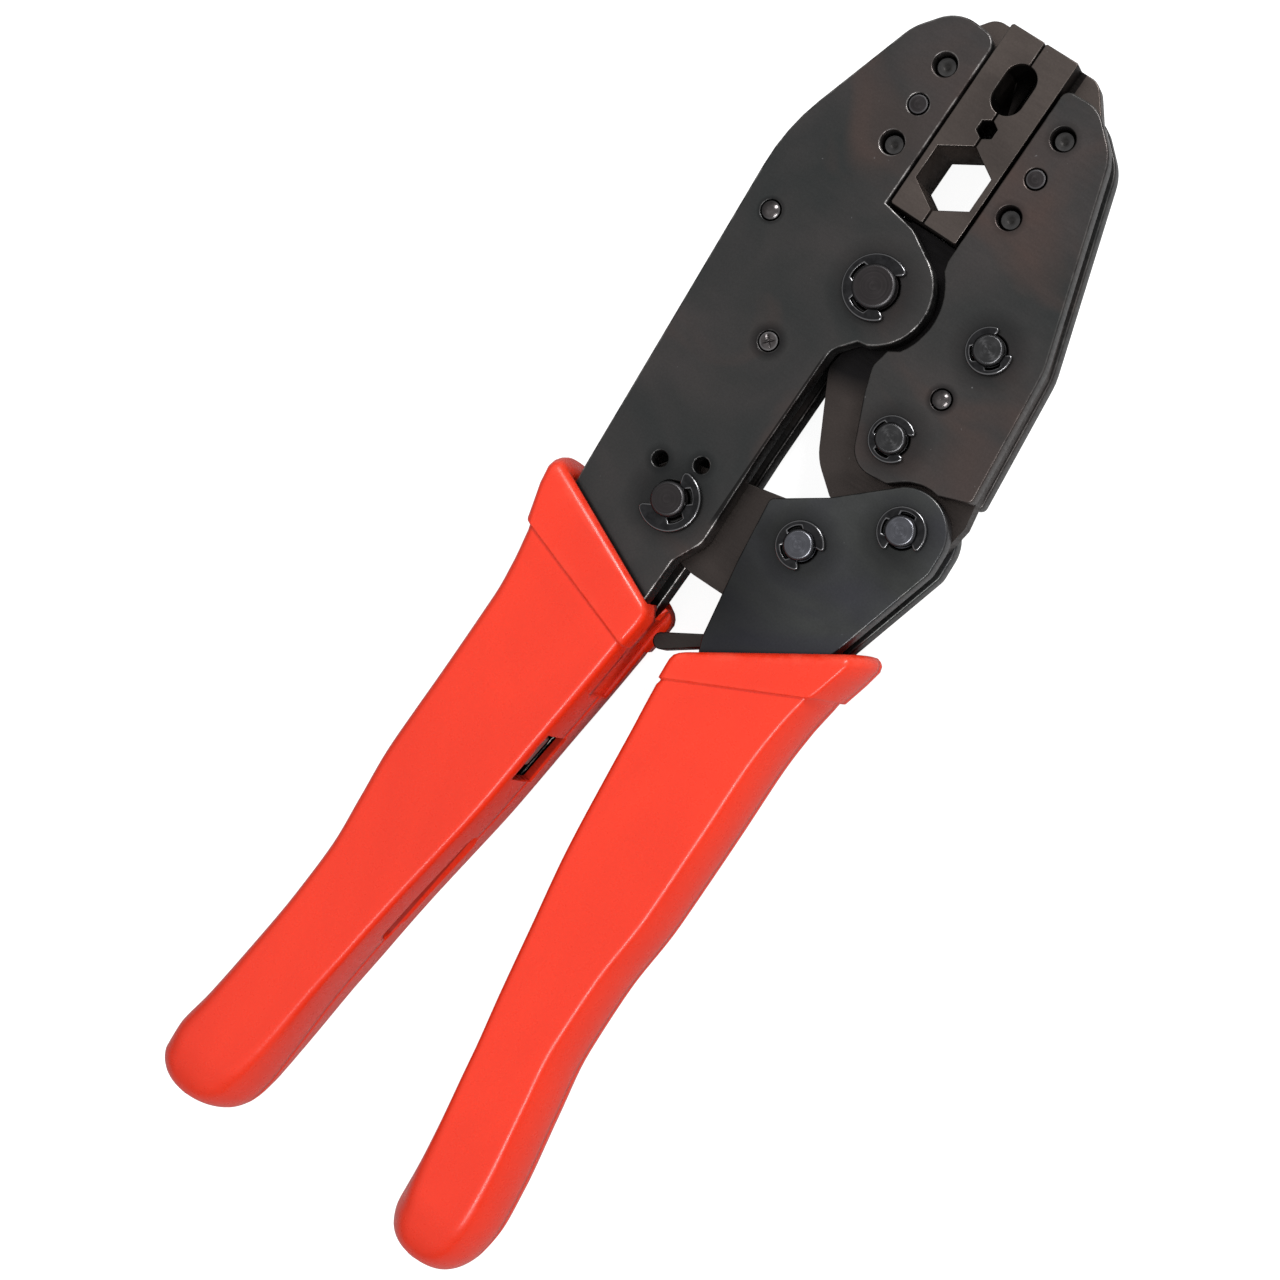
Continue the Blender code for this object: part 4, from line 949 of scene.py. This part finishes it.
pin_with_ring("main_pivot_pin", MAIN, main_r, 5.8, 7.0, 47.0, "frame", dull_face)
pin_with_ring("adjuster_pin", ADJUSTER, adjuster_r, 5.6, 158.0, 62.0, "frame", dull_face)
pin_with_ring("jaw_pin_upper", JAW_PIN_UPPER, pin_r, 4.1, 60.0, 38.0, "moving_jaw", jaw_pin_face)
pin_with_ring("jaw_pin_lower", JAW_PIN_LOWER, pin_r, 4.1, 8.0, 32.0, "moving_jaw", jaw_pin_face)
pin_with_ring("handle_pivot_pin", HANDLE, pin_r, 4.3, -60.0, 38.0, "moving_handle", pin_face)
pin_with_ring("toggle_pin", TOGGLE, pin_r, 4.3, -20.0, 38.0, "moving_handle", pin_face)


def domed(node, axis, radius, dome, body, material, slot, dimple=0.0, relief=None):
    """A rivet or dowel whose two ends are domes, with a dimple in the middle if it is staked."""
    low, high = heights(node)
    base_high, base_low = high - dome, low + dome
    rings = 10
    profile = []
    for i in range(rings + 1):
        share = i / rings
        pit = dimple * math.exp(-((share / 0.22) ** 2))
        height = base_high + dome * math.cos(share * math.pi / 2.0) ** 0.8 - pit
        profile.append((radius * share, height, 0.8 if share > 0.85 else 0.0))
    for i in range(rings, -1, -1):
        share = i / rings
        profile.append((radius * share, base_low - dome * math.cos(share * math.pi / 2.0) ** 0.8, 0.0))
    piece = turned(node + "_detail", axis, profile, 40, relief)
    put(piece, body, material, slot, node)


def cross_stake(x, y, height):
    """Two crossed punch marks across the top of the lower rivet."""
    if height < MID_HIGH:
        return 0.0
    near = min(abs(x + y), abs(x - y)) / math.sqrt(2.0)
    return -0.28 * math.exp(-((near / 0.22) ** 2)) * math.exp(-((math.hypot(x, y) / 1.35) ** 4))


domed("frame_rivet_upper", RIVET_UPPER, 1.6, 0.6, "frame", rivet_steel, "pin_steel", 0.12)
domed("frame_rivet_lower", RIVET_LOWER, 1.6, 0.25, "frame", rivet_steel, "pin_steel", relief=cross_stake)
domed("jaw_rivet", JAW_RIVET, 1.6, 0.65, "moving_jaw", rivet_steel, "pin_steel", 0.2)
for node, body in (("fixed_die_dowel", "frame"), ("moving_die_dowel", "moving_jaw")):
    domed(node, axis_of(node), 1.6, 0.12, body, dull_face, "pin_steel")
for node, body in (
    ("frame_tang_rivet_high", "frame"), ("frame_tang_rivet_low", "frame"), ("spring_anchor_pin", "frame"),
    ("handle_rivet_high", "moving_handle"), ("handle_rivet_low", "moving_handle"),
    ("pawl_pin", "moving_handle"),
):
    low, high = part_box(node)
    radius = (high.x - low.x) / 2.0 / MM - 0.02
    domed(node, axis_of(node), radius, 0.1, body, bright_steel, hidden_slot)


def socket_screw(node, body):
    """A die screw: a threaded end sunk in the front hole, and a button head with a hex socket behind."""
    axis = axis_of(node)
    low, high = heights(node)
    shank = 1.8
    profile = [(0.0, high - 0.35), (0.5, high - 0.3), (1.15, high, 0.6), (shank - 0.25, high, 0.8)]
    profile += [(shank, high - 0.3, 0.6)]
    for i in range(1, 5):
        level = high - 0.3 - 0.7 * i
        profile += [(shank - 0.28, level + 0.35), (shank, level, 0.5)]
    profile += [
        (shank, BACK_LOW - 0.3), (3.3, BACK_LOW - 0.3, 0.4), (3.5, BACK_LOW - 0.5, 0.8),
        (3.45, BACK_LOW - 1.1, 0.3), (3.2, BACK_LOW - 1.6, 0.6), (2.7, low + 0.05, 0.6), (2.2, low),
        (0.0, low),
    ]
    screw = turned(node + "_detail", axis, profile, 48)
    hexagon = [polar(axis, 1.45, 60.0 * i) for i in range(6)]
    cut(screw, [slab(node + "_socket", hexagon, [], low - 1.0, low + 0.85, 0.0)])
    shade(screw.data, 32.0)
    put(screw, body, screw_steel, "pin_steel", node)


for node in nodes_with("die_screw"):
    socket_screw(node, "frame" if node.startswith("fixed") else "moving_jaw")

low, high = heights("adjuster_lock_screw")
lock = turned(
    "adjuster_lock_screw_detail", LOCK_SCREW, [
        (0.0, high), (0.9, high), (1.1, high - 0.2, 0.5), (1.1, 2.75), (1.3, 2.75, 0.2),
        (1.35, 2.6, 0.4), (1.35, low + 0.3, 0.6), (1.1, low, 0.6), (0.0, low),
    ],
    40,
)
slot_box = turned_box(LOCK_SCREW, (4.0, 0.4), 0.0)
cut(lock, [slab("lock_slot", slot_box, [], low - 1.0, low + 0.5, 0.0)])
shade(lock.data, 32.0)
put(lock, "frame", rivet_steel, hidden_slot, "adjuster_lock_screw")


# ---------------------------------------------------------------- springs

def coil(node, start, end, tails, radius, wire_radius, turns, body, hooked=None):
    """A coil spring between two points. One hooked to a body is not attached to it: its place is baked into
    its mesh.
    """
    height = sum(MIDDLE) / 2.0
    first, last = Vector((*start, height)), Vector((*end, height))
    along = (last - first).normalized()
    up = Vector((0.0, 0.0, 1.0))
    side = up.cross(along)
    length = (last - first).length - tails[0] - tails[1]
    steps = turns * 20
    points = []
    if tails[0] > 0.0:
        points += [first, first + along * tails[0] * 0.5]
    for i in range(steps + 1):
        turn = 2.0 * math.pi * i / 20.0
        ends = min(1.0, i / 10.0 if tails[0] > 0.0 else 1.0, (steps - i) / 10.0 if tails[1] > 0.0 else 1.0)
        offset = (side * math.cos(turn) + up * math.sin(turn)) * radius * max(0.15, ends)
        points.append(first + along * (tails[0] + length * i / steps) + offset)
    if tails[1] > 0.0:
        points += [last - along * tails[1] * 0.5, last]
    piece = tube(node + "_detail", points, wire_radius)
    if not hooked:
        put(piece, body, coil_steel, "spring_wire", node)
        return
    piece.data.materials.append(coil_steel)
    bpy.context.view_layer.update()
    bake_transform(piece)
    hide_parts(node)


coil("return_spring", (-5.2, -57.6), (-12.0, -86.2), (8.0, 1.5), 1.8, 0.35, 14, "frame", "toggle_link")
coil("pawl_spring", (20.3, -79.4), (20.3, -67.3), (0.0, 0.0), 1.5, 0.3, 7, "moving_handle")


# ---------------------------------------------------------------- grips

def spline(values, at):
    """A smooth curve through evenly numbered values that doesn't swing past them."""
    count = len(values)
    i = min(int(at), count - 2)
    t = at - i

    def slope(k):
        if k <= 0 or k >= count - 1:
            return values[min(k + 1, count - 1)] - values[max(k - 1, 0)]
        a, b = values[k] - values[k - 1], values[k + 1] - values[k]
        return 0.0 if a * b <= 0.0 else 2.0 * a * b / (a + b)

    a, b, m0, m1 = values[i], values[i + 1], slope(i), slope(i + 1)
    t2, t3 = t * t, t * t * t
    return a * (2 * t3 - 3 * t2 + 1) + m0 * (t3 - 2 * t2 + t) + b * (-2 * t3 + 3 * t2) + m1 * (t3 - t2)


def wall(height, corner, lean, steps, seam=0.22):
    """One side's outline from the flat upper face to mid height: a tight corner, then a long crown.

    Returns (inset from the widest point, drop from the upper face) pairs. A narrow groove marks the
    parting line where the two halves of the mould meet.
    """
    lean_turn = math.radians(lean)
    corner = min(corner, height * 0.92)
    crown = (height - corner * (1.0 - math.sin(lean_turn))) / math.sin(lean_turn)
    total = corner * math.cos(lean_turn) + crown * (1.0 - math.cos(lean_turn))
    points = []
    for i in range(steps + 1):
        turn = math.pi / 2.0 + (lean_turn - math.pi / 2.0) * i / steps
        points.append((total - corner * math.cos(turn), corner * (1.0 - math.sin(turn))))
    for i in range(1, steps + 1):
        turn = lean_turn * (1.0 - i / steps)
        points.append((crown * (1.0 - math.cos(turn)), height - max(seam, crown * math.sin(turn))))
    points.append((min(seam, total * 0.5), height))
    return points


def section(left, right, low, high, left_side, right_side, steps=6):
    """A moulded cross-section standing on the line between two plan points.

    Each side is (corner radius, lean): its wall bows out to the parting plane at mid height.
    """
    left, right = Vector(left), Vector(right)
    width = (right - left).length
    half = (high - low) / 2.0
    outline = []
    right_wall = wall(half, *right_side, steps)
    left_wall = wall(half, *left_side, steps)
    outline += [(width - inset, high - drop) for inset, drop in right_wall]
    outline += [(width - inset, low + drop) for inset, drop in reversed(right_wall[:-1])]
    outline += [(inset, low + drop) for inset, drop in left_wall]
    outline += [(inset, high - drop) for inset, drop in reversed(left_wall[:-1])]
    ring = []
    for x, z in outline:
        plan = left.lerp(right, x / width)
        ring.append((plan.x, plan.y, z))
    return ring


def lofted(name, rings, edges):
    """A skin over rings of points, with a flat cap at both ends."""
    verts = [point for ring in rings for point in ring]
    edge = [weight for ring, weight in zip(rings, edges) for _ in ring]
    count = len(rings[0])
    faces = []
    for k in range(len(rings) - 1):
        for i in range(count):
            j = (i + 1) % count
            faces.append((k * count + i, k * count + j, (k + 1) * count + j, (k + 1) * count + i))
    faces.append(tuple(range(count)))
    faces.append(tuple(range((len(rings) - 1) * count, len(rings) * count)))
    return make_object(name, verts, faces, edge, limit=45.0)


GROOVE_Z = 10.6


def groove_cutter(name, centre, size, turn, radius=2.0):
    """A bar with rounded ends, lying along a grip's side at mid height."""
    rings = []
    across = Vector((math.cos(math.radians(turn)), math.sin(math.radians(turn))))
    straight = size[1] / 2.0 - radius
    for i in range(-8, 9):
        lean = math.radians(11.2 * i)
        along = math.copysign(straight, i) + radius * math.sin(lean) if i else 0.0
        half = max(0.05, radius * math.cos(lean))
        near, far = (
            (centre[0] + x * across.x - along * across.y, centre[1] + x * across.y + along * across.x)
            for x in (-size[0] / 2.0, size[0] / 2.0)
        )
        low, high = GROOVE_Z - half, GROOVE_Z + half
        rings.append([(*near, low), (*far, low), (*far, high), (*near, high)])
    return lofted(name, rings, [0.0] * len(rings))


LOFT_STEPS = 7
POCKET_PLAY = 0.35
# The collar's lip and rear lip: each station's inset from the faces, and its edge weight.
COLLAR_RIM = (
    (2.2, 0.2), (1.3, 0.7), (0.55, 1.0), (0.12, 0.7), (0.0, 0.1), (0.0, 0.0), (0.0, 0.0), (0.0, 0.2),
    (0.1, 1.0), (0.55, 0.0), (0.5, 0.0),
)


def make_grip(node, collar, body_stations, pocket, palm_left, lean, openings, body, plastic):
    """A moulded sleeve: a flared collar, a smooth lofted body, a pocket for the tang, and its openings.

    Every station starts with the x and y of its left point and of its right point. The body's go on
    with the inset from the faces and how far the end rounds, and the pocket's with its extra height.
    The openings are (corners, low, high), and the groove's place comes last.
    """
    rings, edges = [], []
    for station, (inset, weight) in zip(collar, COLLAR_RIM):
        sides = ((1.7, lean), (1.5, 8.0)) if palm_left else ((1.5, 8.0), (1.7, lean))
        rings.append(section(station[:2], station[2:], GRIP_LOW + inset, GRIP_HIGH - inset, *sides))
        edges.append(weight)
    columns = list(zip(*body_stations))
    for k in range((len(body_stations) - 1) * LOFT_STEPS + 1):
        lx, ly, rx, ry, inset, end = (spline(column, k / LOFT_STEPS) for column in columns)
        low, high = GRIP_LOW + inset, GRIP_HIGH - inset
        palm = (1.8 + 3.0 * end, lean)
        inner = (1.6 + 3.2 * end, 8.0 + 33.0 * end)
        sides = (palm, inner) if palm_left else (inner, palm)
        rings.append(section((lx, ly), (rx, ry), low, high, *sides))
        edges.append(0.0)
    grip = lofted(node + "_detail", rings, edges)
    mouth = []
    for *station, grow in pocket:
        low, high = BACK_LOW - POCKET_PLAY - grow, FRONT_HIGH + POCKET_PLAY + grow
        mouth.append(section(station[:2], station[2:], low, high, (0.6, 1.0), (0.6, 1.0), 3))
    cutters = [lofted(node + "_pocket", mouth, [0.0] * len(mouth))]
    *windows, groove = openings
    for number, (corners, low, high) in enumerate(windows):
        cutters.append(slab(f"{node}_opening_{number}", corners, [], low, high, 0.0))
    cutters.append(groove_cutter(node + "_groove", *groove))
    cut(grip, cutters)
    shade(grip.data, 45.0)
    put(grip, body, plastic, "red_grip", node)


fixed_collar = [
    (-29.4, -53.2, -1.3, -65.2), (-29.9, -53.2, -0.9, -65.5), (-30.5, -53.6, -0.3, -66.0),
    (-31.0, -54.3, 0.2, -66.7), (-31.3, -55.4, 0.55, -67.6), (-30.9, -58.5, 0.45, -69.6),
    (-29.9, -62.2, 0.15, -72.0), (-29.25, -64.7, -0.05, -73.35), (-29.1, -65.0, -0.1, -73.55),
    (-28.5, -65.15, -0.5, -73.65), (-28.3, -65.5, -0.6, -73.9),
]
fixed_body = [
    (-28.0, -66.5, -0.6, -74.7, 0.45, 0.0), (-27.0, -73.0, -1.0, -79.0, 0.5, 0.0),
    (-26.5, -80.0, -1.5, -84.0, 0.5, 0.0), (-26.6, -94.0, -2.6, -94.0, 0.6, 0.0),
    (-26.9, -111.0, -4.4, -111.0, 0.7, 0.0), (-26.2, -122.0, -6.1, -122.5, 0.7, 0.0),
    (-25.5, -132.0, -7.7, -133.0, 0.5, 0.0), (-26.0, -143.0, -9.1, -144.0, 0.2, 0.0),
    (-27.4, -156.0, -10.3, -156.0, 0.0, 0.1), (-29.0, -167.5, -10.9, -167.5, 0.0, 0.3),
    (-30.4, -175.0, -11.3, -174.0, 0.1, 0.6), (-30.4, -179.5, -12.2, -179.0, 0.9, 0.9),
    (-28.9, -182.9, -14.4, -182.6, 2.5, 1.0), (-26.9, -184.4, -16.9, -184.2, 4.2, 1.0),
    (-25.0, -184.9, -18.8, -184.8, 6.2, 1.0),
]
fixed_mouth = [
    (-26.4, -50.6, -0.9, -61.0, 1.3), (-25.8, -55.4, -1.5, -65.6, 0.9), (-25.3, -58.6, -1.8, -67.4, 0.2),
    (-24.0, -68.0, -1.9, -69.4, 0.0), (-22.9, -76.0, -2.9, -77.5, 0.0), (-22.7, -90.0, -3.6, -89.0, 0.0),
    (-22.6, -104.0, -5.3, -103.0, 0.0), (-21.3, -124.0, -9.4, -125.0, 0.0),
    (-21.9, -147.0, -13.0, -147.0, 0.0),
]
fixed_openings = [
    (turned_box((1.54, -72.1), (6.0, 24.3), -5.0), 5.5, 14.5),
    ([(-3.0, -58.0), (3.0, -60.0), (3.0, -67.5), (-3.0, -67.5)], 7.4, 13.0),
    ([(-1.6, -58.0), (3.0, -58.0), (3.0, -64.9), (-1.6, -64.9)], -1.0, 8.0),
    (turned_box((-4.6, -98.5), (5.0, 10.0), -5.0), 8.0, 17.2),
    ((-7.1, -129.0), (2.4, 25.0), -6.8),
]
make_grip(
    "fixed_grip", fixed_collar, fixed_body, fixed_mouth, True, 22.0, fixed_openings, "frame", fixed_plastic,
)

moving_collar = [
    (8.4, -68.4, 34.0, -50.9), (8.0, -68.6, 34.6, -50.7), (7.5, -69.1, 35.3, -50.9),
    (7.0, -69.8, 35.9, -51.4), (6.8, -70.8, 36.2, -52.4), (6.85, -72.2, 35.6, -55.6),
    (6.95, -73.5, 34.9, -58.4), (7.0, -74.2, 34.5, -60.0), (7.05, -74.4, 34.4, -60.3),
    (7.45, -74.5, 33.8, -60.45), (7.5, -74.8, 33.6, -60.8),
]
moving_body = [
    (7.3, -75.6, 33.5, -61.9, 0.45, 0.0), (7.7, -79.6, 32.7, -68.5, 0.5, 0.0),
    (8.2, -84.0, 32.4, -76.0, 0.5, 0.0), (9.1, -93.0, 32.8, -90.7, 0.6, 0.0),
    (10.7, -107.0, 33.0, -108.0, 0.7, 0.0), (13.1, -121.0, 32.2, -122.0, 0.7, 0.0),
    (15.4, -134.0, 32.6, -135.0, 0.5, 0.0), (17.7, -146.0, 34.6, -147.5, 0.2, 0.0),
    (19.5, -160.0, 37.0, -161.0, 0.0, 0.2), (20.1, -169.0, 37.9, -169.5, 0.0, 0.5),
    (20.3, -174.6, 37.4, -174.6, 0.7, 0.9), (21.6, -178.6, 35.6, -178.8, 2.3, 1.0),
    (23.5, -180.4, 33.5, -180.6, 4.2, 1.0), (25.6, -181.1, 31.2, -181.2, 6.2, 1.0),
]
moving_mouth = [
    (9.6, -63.0, 32.8, -49.2, 1.3), (10.0, -67.6, 32.0, -54.0, 0.9), (10.3, -70.2, 30.4, -57.2, 0.2),
    (11.2, -78.0, 28.4, -72.0, 0.0), (13.0, -94.0, 27.7, -92.0, 0.0), (14.8, -108.0, 27.8, -108.0, 0.0),
    (16.4, -121.0, 27.4, -127.0, 0.0), (20.2, -147.0, 30.0, -147.0, 0.0),
]
moving_openings = [
    (turned_box((12.0, -99.0), (8.0, 12.0), 5.0), 6.0, 14.0),
    ((14.6, -128.0), (2.4, 25.0), 9.0),
]
make_grip(
    "moving_grip", moving_collar, moving_body, moving_mouth, False, 37.0, moving_openings,
    "moving_handle", red_plastic,
)


# ---------------------------------------------------------------- camera, light and floor

camera = bpy.data.objects.new("camera", bpy.data.cameras.new("camera"))
camera.data.sensor_width = 36.0
camera.data.lens = 75.9375
camera.data.clip_start = 0.05
camera.data.clip_end = 20.0
right = Vector((0.77590, 0.56159, -0.28740))
upward = Vector((-0.56934, 0.81958, 0.06442))
back = Vector((0.27172, 0.11365, 0.95564))
eye = Vector((PIVOT.x + 125.163, PIVOT.y - 19.031, 454.585)) * MM
camera.matrix_world = Matrix.Translation(eye) @ Matrix((right, upward, back)).transposed().to_4x4()
bpy.context.scene.camera = link(camera)

WHITE = (1.0, 1.0, 1.0, 1.0)
LIGHT_DISTANCE = 0.9


def softbox(name, direction, size, length, watts):
    """An oval area light that looks at the tool from a direction."""
    light = bpy.data.lights.new(name, "AREA")
    light.shape = "ELLIPSE"
    light.size = length
    light.size_y = size
    light.energy = watts
    obj = link(bpy.data.objects.new(name, light))
    towards = Vector(direction).normalized()
    obj.location = towards * LIGHT_DISTANCE
    obj.rotation_euler = towards.to_track_quat("Z", "Y").to_euler()


softbox("light_above", (0.10, 0.80, 0.72), 0.26, 0.26, 4.2)
softbox("light_right", (0.66, -0.17, 0.71), 0.14, 0.55, 3.2)


def by_ray(look, other, seen, output):
    """Shows one shader to the camera and another to every other ray."""
    ray = look.add("LightPath").outputs["Is Camera Ray"]
    both = look.add("MixShader", {0: ray, 1: other, 2: seen}).outputs["Shader"]
    look.feed(look.tree.nodes[output], "Surface", both)


sky = Look(bpy.data.worlds.new("studio"))
level = sky.add("SeparateXYZ", {"Vector": sky.add("TexCoord").outputs["Generated"]}).outputs["Z"]
glow = sky.remap(level, 0.0, 0.85, 0.10, 0.78)
white = sky.add("Background", {"Color": WHITE, "Strength": 1.0}).outputs["Background"]
dim = sky.add("Background", {"Color": WHITE, "Strength": glow}).outputs["Background"]
by_ray(sky, dim, white, "World Output")
bpy.context.scene.world = sky.owner
bpy.context.scene.view_settings.view_transform = "Standard"

FLOOR_REACH, FLOOR_Z = 3.0, -0.0002
floor_mesh = bpy.data.meshes.new("floor")
signs = ((-1.0, -1.0), (1.0, -1.0), (1.0, 1.0), (-1.0, 1.0))
floor_mesh.from_pydata([(x * FLOOR_REACH, y * FLOOR_REACH, FLOOR_Z) for x, y in signs], [], [(0, 1, 2, 3)])
floor = link(bpy.data.objects.new("floor", floor_mesh))
paper = Look(bpy.data.materials.new("pale_floor"))
matt = paper.tree.nodes["Principled BSDF"]
tone = paper.blend(paper.noise(900.0, 3.0, 0.6), (0.36, 0.36, 0.36), (0.40, 0.40, 0.40))
paper.feed(matt, "Base Color", tone)
paper.feed(matt, "Roughness", 0.9)
glowing = paper.add("Emission", {"Color": WHITE, "Strength": 0.92}).outputs["Emission"]
lit = paper.add("AddShader", {0: matt.outputs["BSDF"], 1: glowing}).outputs["Shader"]
by_ray(paper, matt.outputs["BSDF"], lit, "Material Output")
floor_mesh.materials.append(paper.owner)
